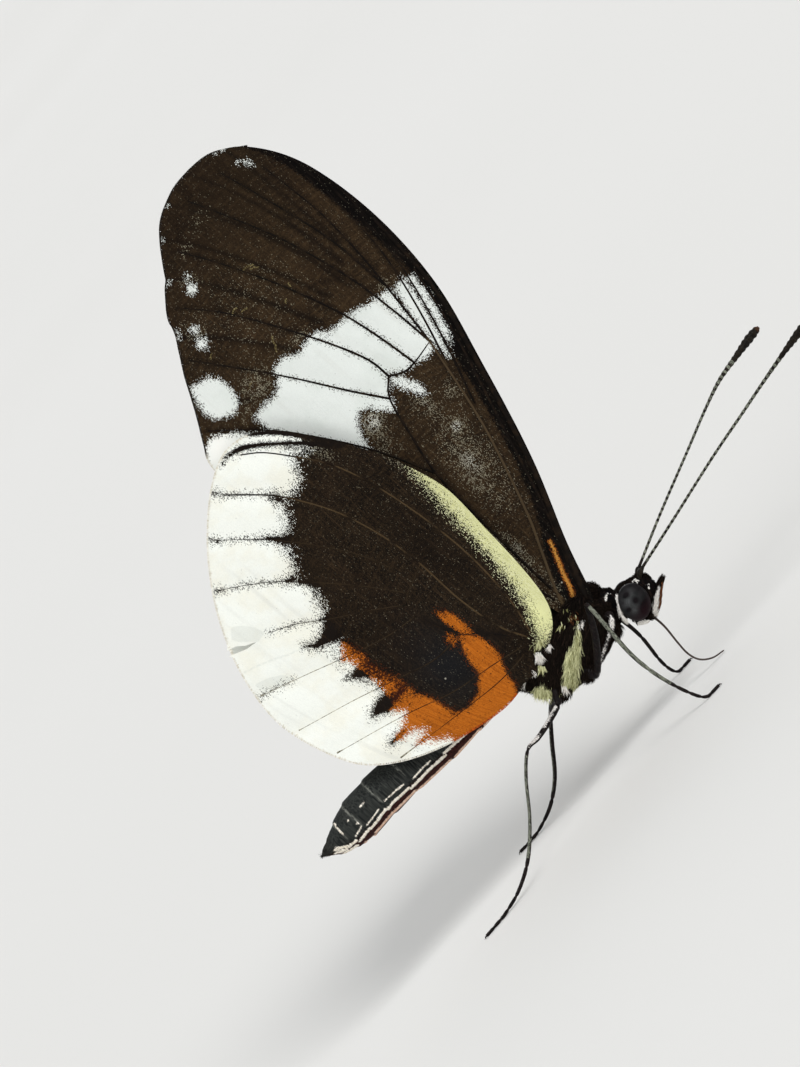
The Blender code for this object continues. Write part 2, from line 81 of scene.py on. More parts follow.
# Wings seen from the side, as (ahead, up).
FOREWING_OUTLINE = (
    (20.3, 10.1), (21.3, 9.9), (22.35, 10.3), (23.95, 14.0), (26.8, 20.0), (29.35, 27.0), (31.3, 33.2),
    (31.95, 39.5), (31.32, 45.4), (29.5, 49.15), (27.3, 50.7), (24.6, 51.0), (22.8, 50.6), (21.6, 50.03),
    (20.7, 49.22), (19.9, 48.3), (19.27, 47.5), (18.95, 47.08), (18.5, 46.75), (17.9, 46.15), (17.3, 45.5),
    (16.97, 45.0), (16.85, 44.6), (16.55, 44.0), (16.15, 43.45), (15.55, 42.6), (14.85, 41.6), (14.2, 40.5),
    (13.4, 39.2), (12.3, 37.55), (11.65, 36.55), (11.4, 35.2), (12.4, 33.4), (15.0, 26.5), (17.7, 19.0),
    (19.6, 13.5),
)
HINDWING_OUTLINE = (
    (16.2, 9.7), (17.7, 10.2), (19.3, 11.35), (20.15, 12.9), (20.65, 15.6), (20.95, 19.0), (21.2, 22.7),
    (20.75, 25.3), (19.9, 28.0), (18.2, 31.5), (16.4, 34.4), (14.6, 35.75), (12.6, 36.05), (10.2, 35.0),
    (7.4, 32.8), (5.0, 30.1), (3.2, 27.2), (2.0, 24.2), (1.4, 20.8), (1.9, 17.6), (3.0, 14.8), (4.9, 12.85),
    (7.4, 11.4), (10.2, 10.4), (12.7, 9.85), (14.6, 9.9),
)
HINDWING_TEAR = ((2.7, 26.8), (3.35, 26.55), (3.8, 26.1), (4.5, 25.7), (3.7, 25.85), (2.5, 26.45))
FOREWING_VEINS = {
    "costa": ((22.0, 10.6), (23.6, 13.9), (26.5, 20.0), (29.05, 27.0), (31.0, 33.3), (31.7, 39.4)),
    "subcosta": ((22.4, 11.7), (23.4, 13.9), (24.9, 17.2), (27.2, 23.4), (29.5, 29.6), (31.0, 34.9)),
    "radius": ((20.6, 11.3), (20.95, 12.4), (22.3, 14.9), (23.6, 17.4), (25.2, 21.3), (26.5, 25.0),
               (28.0, 30.7)),
    "radius_1": ((26.9, 25.5), (28.8, 30.2), (30.3, 34.8), (31.2, 39.0)),
    "radius_2": ((27.6, 28.6), (29.2, 33.0), (30.4, 37.6), (30.9, 43.0)),
    "radial_stem": ((28.0, 30.7), (28.6, 34.2), (29.2, 38.2), (29.5, 42.4), (29.2, 47.4)),
    "radius_5": ((28.8, 35.6), (28.6, 40.6), (27.8, 45.2), (26.9, 49.4)),
    "media_1": ((28.0, 30.7), (27.9, 34.0), (27.5, 38.0), (26.4, 43.0), (25.0, 47.0), (24.0, 49.6)),
    "media_2": ((26.2, 30.5), (25.9, 33.3), (25.3, 36.7), (23.9, 41.2), (22.2, 45.3), (20.9, 47.9)),
    "media_3": ((24.3, 31.2), (24.2, 33.0), (23.3, 35.6), (21.6, 39.4), (19.9, 42.7), (18.0, 45.3)),
    "cubitus_1": ((23.2, 30.1), (21.7, 32.6), (19.8, 36.0), (17.9, 39.1), (15.9, 42.2)),
    "cubitus_2": ((21.5, 24.2), (19.9, 28.3), (17.9, 32.0), (15.7, 35.2), (13.1, 38.0)),
    "cubital_stem": ((20.9, 11.6), (21.0, 16.0), (21.2, 20.0), (21.5, 24.2), (22.3, 27.3), (23.2, 30.1),
                     (24.3, 31.2)),
    "cell_end": ((24.3, 31.2), (25.2, 30.6), (26.2, 30.5), (28.0, 30.7)),
    "anal": ((20.5, 12.2), (19.5, 17.0), (17.6, 23.0), (15.1, 29.0), (12.7, 34.8)),
}
HINDWING_VEINS = {
    "subcosta": ((17.7, 11.9), (18.4, 14.5), (18.8, 18.0), (18.7, 22.0), (18.1, 26.5), (17.2, 29.8),
                 (16.0, 32.0), (14.6, 34.1), (13.4, 35.2)),
    "radius": ((17.3, 11.9), (16.5, 14.0), (16.1, 17.2), (16.1, 20.8), (15.8, 24.0), (15.0, 27.3),
               (13.9, 29.8), (12.7, 31.8), (10.5, 34.3)),
    "media_1": ((15.0, 20.4), (14.0, 23.8), (12.6, 26.5), (10.8, 29.2), (9.3, 31.0), (7.9, 32.5)),
    "media_2": ((14.0, 20.1), (12.4, 22.6), (10.6, 25.0), (8.6, 27.4), (6.8, 29.0), (5.4, 30.05)),
    "media_3": ((13.35, 19.6), (11.3, 21.3), (9.0, 23.0), (7.2, 24.5), (5.5, 25.5)),
    "cubitus_1": ((13.2, 18.6), (11.0, 19.1), (8.6, 20.0), (5.5, 21.4), (1.9, 22.95)),
    "cubitus_2": ((14.3, 15.5), (12.0, 15.6), (9.5, 16.5), (6.0, 17.9), (1.9, 19.35)),
    "cell_floor": ((17.0, 11.9), (16.2, 13.4), (15.0, 14.7), (14.2, 15.7), (13.6, 17.2), (13.2, 18.6),
                   (13.35, 19.6)),
    "cell_end": ((13.35, 19.6), (14.0, 20.1), (15.0, 20.4), (16.1, 20.8)),
    "anal_2": ((16.6, 11.7), (14.2, 12.4), (11.0, 13.2), (7.6, 14.6), (2.5, 16.35)),
    "anal_3": ((16.2, 11.2), (13.5, 11.3), (9.5, 12.0), (5.2, 12.85)),
}
MAIN_VEINS = ("costa", "subcosta", "radius", "cubital_stem")
# Half thickness of the veins at the front edge, at the root and at the tip.
COSTA_RADII = (0.24, 0.12)
# The wings were measured from a little above, so they stand a little higher or lower than they look.
WING_LIFTS = {"forewing_right": 0.1, "hindwing_right": 0.2, "forewing_left": -0.06, "hindwing_left": -0.17}
# Dark rays between the forewing's veins.
FOREWING_RAYS = (
    ((16.6, 43.75), (17.3, 43.1), (18.6, 41.5), (19.7, 39.9), (20.7, 38.3), (21.3, 37.2)),
    ((19.05, 47.1), (19.9, 46.0), (20.9, 44.3), (21.9, 42.2), (22.9, 39.8), (23.9, 37.2)),
    ((20.8, 49.2), (22.0, 47.4), (23.4, 44.4), (24.7, 41.0), (25.6, 38.0)),
    ((22.9, 50.5), (24.2, 48.0), (25.6, 44.6), (26.6, 41.0), (27.1, 37.5)),
    ((25.4, 50.9), (26.6, 47.5), (27.5, 43.5), (28.0, 39.0)), ((14.1, 40.4), (15.2, 38.9), (16.6, 37.2)),
    ((28.4, 49.8), (28.7, 45.0), (28.9, 40.0)),
)
# Golden scratches where scales have rubbed off, as (ahead, up, length, turn in degrees).
FOREWING_SCRATCHES = (
    (23.3, 43.5, 0.9, -15), (23.6, 43.15, 0.6, -35), (20.8, 38.8, 0.6, 65), (20.5, 38.3, 0.4, 50),
    (17.4, 37.9, 0.4, 30), (17.1, 41.3, 0.4, 40), (20.5, 42.2, 0.5, 5), (21.0, 41.7, 0.5, -10),
    (24.4, 40.6, 0.3, 70), (23.4, 40.0, 0.3, 30),
)

# The white, orange and yellow fields, as closed outlines. Spots are (ahead, up, radius).
FOREWING_PANES = (
    ((16.0, 36.1), (16.6, 36.3), (17.6, 36.15), (18.5, 36.3), (18.95, 36.75), (19.2, 36.8), (19.8, 36.0),
     (21.7, 32.6), (23.2, 30.1), (23.15, 29.7), (22.75, 29.45), (22.3, 30.0), (21.7, 30.8), (21.1, 31.1),
     (20.5, 30.7), (20.0, 29.9), (19.85, 29.2), (19.7, 28.9), (18.4, 31.0), (17.3, 32.8), (16.5, 34.1),
     (16.0, 35.1)),
    ((19.15, 37.2), (19.6, 37.5), (20.3, 37.5), (20.9, 37.1), (21.4, 36.85), (22.0, 37.0), (22.7, 37.05),
     (23.3, 35.6), (24.2, 33.0), (24.3, 31.4), (23.9, 30.9), (23.4, 30.35), (23.2, 30.1), (21.7, 32.6),
     (19.8, 36.0), (19.15, 36.9)),
    ((22.75, 37.0), (23.3, 36.9), (23.8, 36.3), (24.6, 36.2), (25.4, 36.05), (25.9, 33.3), (26.2, 30.5),
     (25.9, 30.55), (25.4, 30.65), (24.9, 30.9), (24.5, 31.35), (24.3, 31.4), (24.2, 33.0), (23.3, 35.6)),
    ((25.45, 36.15), (26.2, 35.95), (26.9, 35.65), (27.75, 35.45), (27.9, 33.0), (28.0, 30.5), (27.7, 30.15),
     (27.0, 30.15), (26.5, 30.3), (26.25, 30.6), (25.95, 33.3)),
    ((27.85, 35.4), (28.4, 35.3), (28.75, 35.1), (28.45, 33.6), (28.15, 32.0), (28.02, 30.9), (27.95, 33.0)),
    ((29.05, 34.9), (29.5, 35.0), (29.95, 35.05), (29.85, 34.2), (29.5, 32.7), (29.0, 31.2), (28.4, 29.7),
     (28.15, 28.95), (28.05, 29.6), (28.15, 31.0), (28.4, 32.4), (28.75, 33.9)),
    ((30.15, 34.75), (30.55, 34.65), (30.45, 33.6), (30.05, 32.0), (29.45, 30.5), (28.8, 29.4), (29.0, 30.5),
     (29.5, 31.9), (29.95, 33.5)),
    ((24.3, 31.0), (24.8, 30.5), (25.2, 29.6), (25.25, 28.8), (25.1, 28.5), (24.85, 28.8), (24.55, 29.5),
     (24.2, 30.5)),
    ((14.3, 40.3), (14.45, 40.9), (15.1, 40.7), (15.85, 40.4), (16.25, 39.9), (16.4, 39.1), (16.25, 38.3),
     (15.85, 37.65), (15.3, 37.5), (14.65, 37.75), (14.05, 38.25), (13.85, 38.85), (14.05, 39.6)),
    ((10.8, 35.0), (11.2, 36.5), (12.2, 37.4), (13.0, 37.45), (13.8, 36.9), (14.4, 36.3), (15.0, 35.5),
     (15.9, 34.6), (16.9, 33.4), (18.0, 31.6), (17.2, 31.6), (14.5, 32.8), (12.0, 34.0)),
)
FOREWING_FLECKS = (
    (17.35, 42.35, 0.36), (17.7, 43.4, 0.2), (19.65, 45.45, 0.3), (20.1, 46.2, 0.08), (28.75, 48.25, 0.1),
    (28.6, 48.55, 0.06), (28.2, 48.9, 0.02), (16.72, 44.2, 0.1), (16.45, 43.85, 0.1), (18.85, 46.95, 0.1),
    (20.75, 49.2, 0.02), (22.8, 50.5, 0.02), (27.6, 50.6, 0.04), (28.2, 50.35, 0.04),
)
FOREWING_STREAK = ((21.5, 11.4), (21.87, 12.0), (22.17, 12.8), (22.56, 13.6), (22.98, 14.4), (23.3, 15.1))
FOREWING_BLACK = (
    (20.7, 10.6), (21.05, 12.3), (21.75, 13.5), (22.5, 14.9), (23.5, 16.2), (24.6, 18.0), (25.7, 20.4),
    (26.6, 22.8), (27.6, 26.0), (28.5, 29.0), (29.6, 31.4), (30.6, 34.0), (30.8, 37.0), (30.75, 41.0),
    (30.5, 45.0), (30.0, 47.8), (29.2, 49.6), (27.6, 50.8), (27.5, 53.0), (34.0, 50.0), (34.0, 36.0),
    (31.0, 26.0), (24.5, 9.0),
)
HINDWING_WHITE = (
    (13.4, 35.6), (14.9, 34.9), (15.9, 33.8), (16.6, 32.9), (16.9, 32.2), (16.3, 32.2), (15.9, 32.5),
    (15.5, 32.1), (15.0, 31.2), (14.3, 30.85), (13.6, 30.9), (13.2, 31.2), (12.85, 31.7), (12.8, 31.3),
    (12.7, 30.7), (12.2, 29.9), (11.6, 29.35), (11.1, 29.3), (10.7, 29.6), (10.2, 30.15), (10.55, 29.3),
    (10.6, 28.5), (10.3, 27.6), (9.8, 27.05), (9.3, 26.9), (9.0, 26.95), (9.5, 26.4), (9.8, 25.6),
    (9.6, 24.7), (9.2, 23.95), (8.9, 23.4), (8.4, 23.0), (7.9, 22.75), (7.3, 22.65), (6.6, 22.9), (6.9, 22.4),
    (7.5, 22.05), (7.9, 21.85), (8.2, 21.4), (7.9, 20.9), (7.6, 20.65), (7.3, 20.4), (7.75, 19.9),
    (7.8, 19.4), (7.5, 19.25), (7.2, 19.1), (7.4, 18.8), (7.7, 18.5), (7.8, 18.2), (7.8, 17.6), (7.8, 17.1),
    (7.6, 16.75), (7.0, 16.6), (6.4, 16.45), (6.1, 16.25), (6.5, 15.95), (6.9, 15.65), (7.3, 15.3),
    (7.75, 14.75), (7.1, 14.25), (5.5, 14.05), (5.5, 13.95), (6.3, 13.7), (7.2, 13.4), (7.75, 12.95),
    (6.6, 12.65), (7.0, 12.4), (7.4, 12.15), (7.9, 11.65), (8.5, 11.1), (8.5, 9.0), (-2.0, 9.0), (-2.0, 38.5),
    (13.4, 38.5),
)
# The pale strip in front of the dark arc.
HINDWING_FRONT = (
    (12.6, 37.0), (14.0, 37.0), (14.9, 35.6), (15.6, 34.93), (16.2, 34.25), (16.7, 33.5), (17.0, 32.9),
    (16.9, 32.65), (16.3, 33.3), (15.5, 34.1), (14.7, 34.85), (14.0, 35.45), (13.1, 35.8), (12.6, 35.9),
)
HINDWING_TEETH = (
    ((6.5, 22.95), (7.1, 22.5), (7.7, 22.45), (8.4, 22.7), (9.0, 22.9), (9.0, 21.9), (8.3, 21.75),
     (7.6, 22.0), (7.0, 22.25)),
    ((7.0, 19.1), (7.4, 19.1), (7.8, 19.1), (8.0, 18.9), (7.9, 18.3), (7.7, 18.5), (7.3, 18.85)),
    ((6.2, 16.25), (6.6, 16.45), (7.0, 16.5), (7.6, 16.4), (7.9, 16.1), (7.5, 15.8), (7.0, 15.75),
     (6.5, 16.0)),
    ((5.5, 14.02), (6.3, 14.04), (6.7, 13.94), (6.3, 13.88)),
)
HINDWING_ORANGE = (
    ((6.7, 15.4), (7.2, 15.7), (7.9, 15.6), (8.7, 15.5), (9.4, 14.8), (9.8, 13.8), (9.95, 12.6), (10.3, 12.0),
     (10.9, 11.65), (11.6, 11.75), (12.3, 11.9), (12.6, 12.3), (13.25, 12.7), (13.3, 13.75), (13.8, 14.8),
     (14.3, 15.6), (14.15, 16.8), (14.35, 17.8), (14.85, 17.3), (15.1, 16.4), (15.1, 15.0), (15.2, 13.75),
     (15.1, 12.5), (14.5, 11.4), (14.3, 10.5), (13.6, 9.0), (8.0, 9.0), (7.0, 11.5), (6.2, 12.7), (5.6, 13.9),
     (6.5, 14.6)),
    ((7.4, 15.4), (7.8, 16.5), (7.8, 17.2), (7.7, 17.7), (7.9, 18.3), (7.85, 18.9), (7.7, 19.4), (7.4, 20.0),
     (7.1, 20.4), (7.6, 20.7), (8.0, 21.2), (8.5, 21.3), (8.7, 20.6), (8.85, 19.6), (8.7, 18.8), (8.85, 17.8),
     (9.1, 17.0), (9.2, 16.2), (9.3, 15.2)),
    ((13.4, 15.3), (14.0, 15.4), (14.1, 15.9), (13.8, 16.4), (13.4, 15.9)),
)
HINDWING_YELLOW = (
    (20.3, 26.4), (21.6, 26.4), (22.5, 24.0), (22.5, 12.0), (19.6, 11.1), (18.8, 10.85), (18.2, 10.7),
    (17.6, 10.95), (17.75, 11.4), (18.25, 12.1), (18.85, 13.3), (19.25, 14.9), (19.55, 16.3), (19.75, 17.7),
    (19.9, 19.0), (20.0, 20.4), (20.05, 22.0), (20.05, 23.4), (20.05, 24.8), (20.15, 25.6),
)
# Places where the margin is folded or creased, painted a little greyer than the rest as shade in them.
HINDWING_FOLD_SHADE = (
    ((4.1, 27.7), (4.6, 27.3), (5.1, 26.6), (5.4, 25.7), (4.6, 25.6), (4.2, 26.1), (3.7, 26.6), (3.5, 27.1)),
    ((2.2, 23.8), (3.2, 23.4), (4.0, 22.8), (4.4, 22.0), (3.3, 22.35), (2.3, 22.85)),
)
HINDWING_CREASE_SHADE = ((2.4, 24.9), (3.4, 24.5), (4.4, 24.0), (5.4, 23.4), (6.4, 23.0))
# The dark arc near the front edge, its half widths at places ahead, and the dark line at the edge.
HINDWING_DARK_EDGE = (
    (11.9, 35.72), (12.4, 35.82), (13.1, 35.75), (13.9, 35.4), (14.6, 34.85), (15.4, 34.1), (16.2, 33.3),
    (17.0, 32.4), (17.8, 31.4), (18.6, 30.4),
)
DARK_EDGE_WIDTHS = ((12.0, 12.8, 14.0, 15.5, 18.0), (0.06, 0.17, 0.18, 0.12, 0.1))
HINDWING_FRONT_LINE = (
    (14.8, 35.75), (15.15, 35.4), (15.75, 34.85), (16.35, 34.15), (16.9, 33.4), (17.5, 32.5), (18.1, 31.6),
    (18.8, 30.4),
)
# Dark scales along the veins over the white, as a line and how wide they reach to each side of it.
HINDWING_DARK_VEINS = (
    (((10.05, 34.9), (10.4, 34.45)), 0.17), (((10.3, 34.55), (11.6, 33.1), (12.9, 31.6)), 0.03),
    (((7.65, 32.75), (7.95, 32.4)), 0.15), (((7.9, 32.45), (9.5, 30.85), (11.2, 28.9)), 0.02),
    (((5.2, 30.2), (5.5, 29.95)), 0.1), (((5.4, 30.0), (7.2, 28.7), (8.8, 27.2), (10.2, 25.4)), 0.0),
    (((5.6, 25.45), (7.2, 24.45), (9.3, 22.9)), -0.02), (((2.0, 22.9), (2.3, 22.8)), 0.05),
    (((2.3, 22.8), (4.2, 22.0)), -0.03), (((12.8, 31.2), (12.5, 31.7)), 0.08),
    (((10.9, 29.4), (10.4, 29.9)), 0.08), (((9.3, 26.8), (8.9, 27.2)), 0.06),
    (((13.4, 17.9), (13.9, 16.6), (14.4, 15.5), (15.2, 14.6), (16.2, 13.4)), 0.06),
)
# Soft areas made of clouds as (ahead, up, spread ahead, spread up, share): loose pale scales as dust,
# dark scales in the orange as shadow and over the white as specks, dusky and blue places, and lighter
# places: painted light on the forewing's white where the hindwing shades it, a paler yellow by the
# hindwing's root.
WING_CLOUDS = {
    "forewing": {
        "dust": ((21.2, 29.9, 0.9, 0.8, 0.6), (20.6, 28.2, 0.7, 0.9, 0.28), (24.9, 25.4, 0.5, 0.45, 0.5),
                 (24.6, 28.0, 0.6, 0.9, 0.35), (23.6, 23.0, 0.9, 1.5, 0.28), (22.6, 21.8, 0.5, 1.1, 0.18),
                 (26.4, 27.3, 0.6, 1.0, 0.22), (23.2, 20.0, 0.8, 1.5, 0.12), (21.35, 14.5, 0.28, 2.2, 0.22),
                 (17.6, 37.3, 1.3, 0.6, 0.3), (22.1, 37.6, 0.8, 0.35, 0.3), (21.5, 41.5, 3.5, 3.0, 0.05),
                 (28.9, 35.6, 0.8, 0.5, 0.25), (15.9, 36.9, 0.8, 0.7, 0.2), (20.9, 16.5, 0.16, 4.0, 0.35),
                 (21.5, 16.8, 0.25, 1.4, 0.35), (20.3, 12.8, 0.25, 1.2, 0.35), (24.2, 23.5, 1.4, 3.5, 0.16),
                 (17.6, 43.1, 0.5, 0.8, 0.42), (19.9, 45.9, 0.45, 0.6, 0.4), (21.3, 47.6, 0.5, 0.3, 0.22),
                 (23.3, 48.2, 0.8, 0.4, 0.12), (16.6, 44.1, 0.3, 0.3, 0.3), (18.3, 38.3, 0.9, 0.5, 0.2),
                 (17.2, 38.0, 0.5, 0.6, 0.2)),
        # Painted light: the forewing's white made lighter where the hindwing shades it.
        "lighter_tone_and_painted_light": ((12.8, 36.4, 1.7, 1.2, 1.0),),
    },
    "hindwing": {
        "shadow": ((8.5, 18.8, 0.8, 0.6, 0.6), (8.5, 17.9, 0.6, 0.6, 0.35), (8.2, 15.95, 1.3, 0.4, 0.75),
                   (8.95, 17.0, 0.3, 1.2, 0.45), (8.85, 20.4, 0.3, 0.9, 0.5), (8.3, 20.3, 0.6, 1.0, 0.27),
                   (8.3, 17.1, 0.6, 0.8, 0.27), (11.0, 12.1, 1.4, 0.35, 0.4), (10.0, 13.6, 0.3, 1.4, 0.35),
                   (13.7, 15.8, 0.45, 0.6, 0.45), (14.7, 17.6, 0.3, 0.5, 0.5), (8.0, 14.8, 1.5, 0.5, 0.15)),
        "specks": ((6.8, 19.35, 0.7, 0.3, 0.26), (7.4, 18.95, 0.5, 0.3, 0.36), (7.6, 18.2, 0.35, 0.7, 0.27),
                   (7.2, 19.9, 0.5, 0.4, 0.18), (7.4, 21.3, 0.5, 0.5, 0.22), (6.4, 16.3, 0.6, 0.3, 0.36),
                   (7.1, 16.7, 0.7, 0.25, 0.26), (15.9, 33.3, 0.7, 0.8, 0.27), (16.7, 32.5, 0.6, 0.7, 0.27),
                   (15.2, 31.7, 0.4, 0.8, 0.22), (14.9, 34.5, 0.4, 0.4, 0.22), (13.0, 31.4, 0.4, 0.6, 0.2)),
        "dust": ((20.4, 27.0, 0.4, 1.0, 0.3), (16.6, 32.6, 0.8, 0.8, 0.5), (17.4, 31.4, 0.5, 0.9, 0.35),
                 (19.7, 20.5, 0.3, 4.0, 0.12), (20.3, 24.0, 0.3, 1.6, 0.35), (8.2, 22.8, 0.6, 0.5, 0.5)),
        "blue": ((12.2, 14.5, 2.2, 3.2, 1.0),),
        "ray": ((11.0, 18.0, 2.6, 3.6, 0.5), (17.4, 21.0, 1.2, 7.0, 0.55), (16.0, 12.5, 1.6, 2.0, 0.5)),
        # A paler yellow by the hindwing's root.
        "lighter_tone_and_painted_light": ((18.9, 12.3, 1.1, 1.3, 0.8),),
    },
}

# Body sections from back to front: ahead, height of the middle, half height, half width.
ABDOMEN_SEGMENTS = (
    (-2.5, 11.98, 0.78, 0.7), (-1.4, 11.97, 1.27, 1.16), (0.0, 12.03, 1.64, 1.48), (2.1, 12.03, 1.68, 1.54),
    (4.5, 11.9, 1.66, 1.44), (7.5, 11.5, 1.6, 1.28), (10.3, 11.25, 1.42, 1.16), (12.7, 11.0, 1.2, 1.01),
    (14.8, 10.6, 0.95, 0.9),
)
THORAX_SECTIONS = (
    (14.3, 10.6, 0.9, 0.85), (15.0, 10.2, 1.6, 1.3), (15.7, 9.8, 2.2, 1.6), (16.8, 9.5, 2.5, 1.8),
    (18.1, 9.4, 2.65, 1.92), (19.5, 9.45, 2.65, 1.92), (20.7, 9.5, 2.45, 1.8), (21.7, 9.55, 2.1, 1.55),
    (22.5, 9.4, 1.65, 1.3), (23.1, 9.1, 1.2, 1.0), (23.7, 8.8, 0.9, 0.85),
)
HEAD_SECTIONS = (
    (22.7, 8.7, 0.7, 0.7), (23.1, 8.45, 0.95, 0.8), (23.5, 8.2, 1.2, 1.0), (24.1, 8.02, 1.33, 1.08),
    (24.8, 7.98, 1.27, 1.1), (25.4, 8.0, 1.05, 0.98), (25.85, 8.1, 0.72, 0.72), (26.1, 8.2, 0.35, 0.35),
)
# The abdomen's joints, and where its slate back meets its maroon belly, as places ahead and heights.
ABDOMEN_JOINTS = (-1.4, -0.05, 2.1, 4.5, 7.5, 10.3)
ABDOMEN_MIDDLE = ((-3.5, -0.9, 0.0, 4.5, 7.5, 12.7), (11.9, 11.2, 11.2, 11.0, 10.75, 10.5))
# The eye's middle as (ahead, out, up), its three radii, and how far its top leans ahead.
EYE_CENTRE = (24.1, 1.2, 8.02)
EYE_RADII = (1.1, 0.73, 1.37)
EYE_LEAN = math.radians(20.0)
# Painted reflections on the eye, soft pale places and the dark spots in them, as (ahead, up, spread ahead,
# spread up, strength).
EYE_PAINTED_REFLECTIONS = (
    (23.85, 8.2, 0.75, 0.85, 0.5), (23.85, 8.5, 0.22, 0.25, 0.25), (23.65, 7.7, 0.18, 0.2, 0.25),
    (24.35, 8.65, 0.15, 0.15, 0.2), (23.45, 8.03, 0.19, 0.19, -0.5), (24.18, 8.15, 0.24, 0.24, -0.55),
    (24.02, 8.84, 0.25, 0.16, -0.5), (23.5, 8.65, 0.12, 0.12, -0.2), (24.3, 7.4, 0.45, 0.35, -0.35),
)
# Swellings on each side of the body, as (ahead, out, up) and three radii, and the one round the eye.
BODY_LOBES = (
    ((20.9, 1.5, 11.0), (1.15, 0.45, 0.6)), ((22.7, 0.75, 10.55), (0.5, 0.6, 0.45)),
    ((23.6, 0.8, 6.75), (0.5, 0.26, 0.4)), ((25.45, 0.42, 8.75), (0.34, 0.28, 0.3)),
    ((16.2, 0.85, 7.7), (0.75, 0.55, 0.75)), ((18.4, 0.95, 7.2), (0.8, 0.55, 0.65)),
    ((21.7, 0.75, 8.0), (0.6, 0.5, 0.9)),
)
EYE_SOCKET = ((24.1, 0.95, 8.02), (1.12, 0.5, 1.38))
# The ridge of white scales behind the eye, as (ahead, out, up, radius), and how wide its white is by height.
EYE_RIDGE = (
    (23.65, 1.15, 9.22, 0.05), (23.45, 1.2, 9.02, 0.07), (23.25, 1.25, 8.77, 0.09), (23.04, 1.28, 8.52, 0.1),
    (22.87, 1.3, 8.22, 0.12), (22.78, 1.3, 7.92, 0.13), (22.74, 1.28, 7.62, 0.14), (22.74, 1.22, 7.35, 0.08),
)
EYE_RIDGE_LINE = tuple((ahead, up) for ahead, out, up, radius in EYE_RIDGE)
EYE_RIDGE_WIDTHS = ((7.2, 7.6, 8.1, 8.6, 9.3), (0.07, 0.17, 0.14, 0.09, 0.07))
# The ridge below the eye.
CHEEK_RIDGE = (
    (23.05, 0.95, 6.92, 0.1), (23.2, 0.98, 6.8, 0.17), (23.45, 0.98, 6.6, 0.19), (23.7, 0.94, 6.4, 0.17),
    (23.86, 0.9, 6.28, 0.1),
)

# Legs, feelers, palp and tongue, as (ahead, out, up, radius).
FORELEG = (
    (21.7, 0.7, 8.95, 0.38), (22.25, 1.55, 8.72, 0.3), (21.8, 1.92, 8.18, 0.24), (21.0, 1.85, 7.8, 0.2),
    (20.1, 1.65, 7.35, 0.17), (19.3, 1.4, 6.95, 0.12), (19.0, 1.3, 6.82, 0.06),
)
LIMBS = {
    "right": {
        "hindleg": ((16.0, 0.7, 8.3, 0.5), (15.75, 1.0, 7.75, 0.42), (15.2, 1.5, 7.24, 0.24),
                    (14.0, 2.6, 7.08, 0.21), (12.6, 3.6, 7.03, 0.18), (11.5, 4.3, 7.1, 0.13),
                    (10.0, 4.7, 5.95, 0.12), (8.1, 5.2, 3.95, 0.12), (6.0, 5.6, 2.25, 0.14),
                    (4.0, 5.9, 1.3, 0.13), (2.2, 6.05, 0.92, 0.12), (1.3, 6.15, 0.88, 0.12),
                    (0.1, 6.25, 0.87, 0.11)),
        "midleg": ((18.15, 0.9, 7.9, 0.5), (18.35, 1.2, 7.05, 0.42), (18.75, 1.9, 6.8, 0.27),
                   (20.2, 3.4, 8.45, 0.27), (21.3, 4.6, 10.2, 0.22), (21.7, 5.3, 11.0, 0.15),
                   (21.5, 6.3, 9.2, 0.16), (21.2, 7.1, 6.9, 0.15), (21.25, 7.5, 5.0, 0.14),
                   (21.6, 7.8, 3.05, 0.13), (22.1, 8.0, 1.5, 0.12), (22.5, 8.08, 0.95, 0.12),
                   (22.9, 8.12, 0.88, 0.12), (23.65, 8.15, 0.87, 0.11)),
        "foreleg": FORELEG,
        "antenna": ((25.5, 0.5, 8.75, 0.16), (25.95, 0.62, 9.05, 0.22), (26.2, 0.68, 9.12, 0.15),
                    (26.5, 0.75, 9.2, 0.11), (30.0, 1.9, 9.95, 0.1), (35.0, 3.7, 11.1, 0.1),
                    (38.5, 5.05, 11.8, 0.11), (41.0, 5.95, 12.3, 0.12), (43.3, 6.75, 12.72, 0.17),
                    (44.9, 7.2, 12.95, 0.27), (45.8, 7.43, 13.07, 0.28), (46.2, 7.53, 13.12, 0.14)),
    },
    "left": {
        "hindleg": ((16.0, 0.7, 8.3, 0.5), (15.8, 1.0, 7.75, 0.42), (15.6, 1.6, 7.2, 0.27),
                    (15.1, 2.9, 6.9, 0.27), (14.6, 4.1, 6.4, 0.22), (14.2, 5.0, 6.0, 0.15),
                    (12.9, 5.5, 4.6, 0.16), (11.3, 6.0, 2.8, 0.15), (9.6, 6.4, 1.6, 0.14),
                    (7.9, 6.7, 1.0, 0.12), (6.9, 6.8, 0.88, 0.12), (5.7, 6.95, 0.87, 0.11)),
        "midleg": ((18.15, 0.9, 7.9, 0.5), (18.35, 1.2, 7.05, 0.42), (18.75, 1.9, 6.8, 0.27),
                   (20.2, 3.3, 8.15, 0.27), (21.4, 4.3, 9.6, 0.22), (21.9, 5.0, 10.2, 0.15),
                   (22.4, 5.7, 8.2, 0.16), (22.7, 6.4, 6.2, 0.15), (22.7, 6.9, 4.6, 0.14),
                   (22.4, 7.5, 2.65, 0.13), (22.4, 7.9, 1.5, 0.12), (22.65, 8.02, 0.95, 0.12),
                   (23.1, 8.08, 0.88, 0.12), (23.85, 8.12, 0.87, 0.11)),
        "foreleg": FORELEG,
        "antenna": ((25.5, 0.5, 8.75, 0.16), (25.95, 0.62, 9.05, 0.22), (26.2, 0.7, 9.14, 0.15),
                    (26.5, 0.8, 9.25, 0.11), (30.0, 2.1, 10.35, 0.1), (34.5, 3.9, 11.6, 0.1),
                    (37.6, 5.3, 12.45, 0.11), (39.8, 6.15, 12.95, 0.15), (41.8, 6.85, 13.1, 0.22),
                    (43.3, 7.3, 13.2, 0.32), (44.1, 7.48, 13.22, 0.29), (44.5, 7.58, 13.21, 0.14)),
    },
}
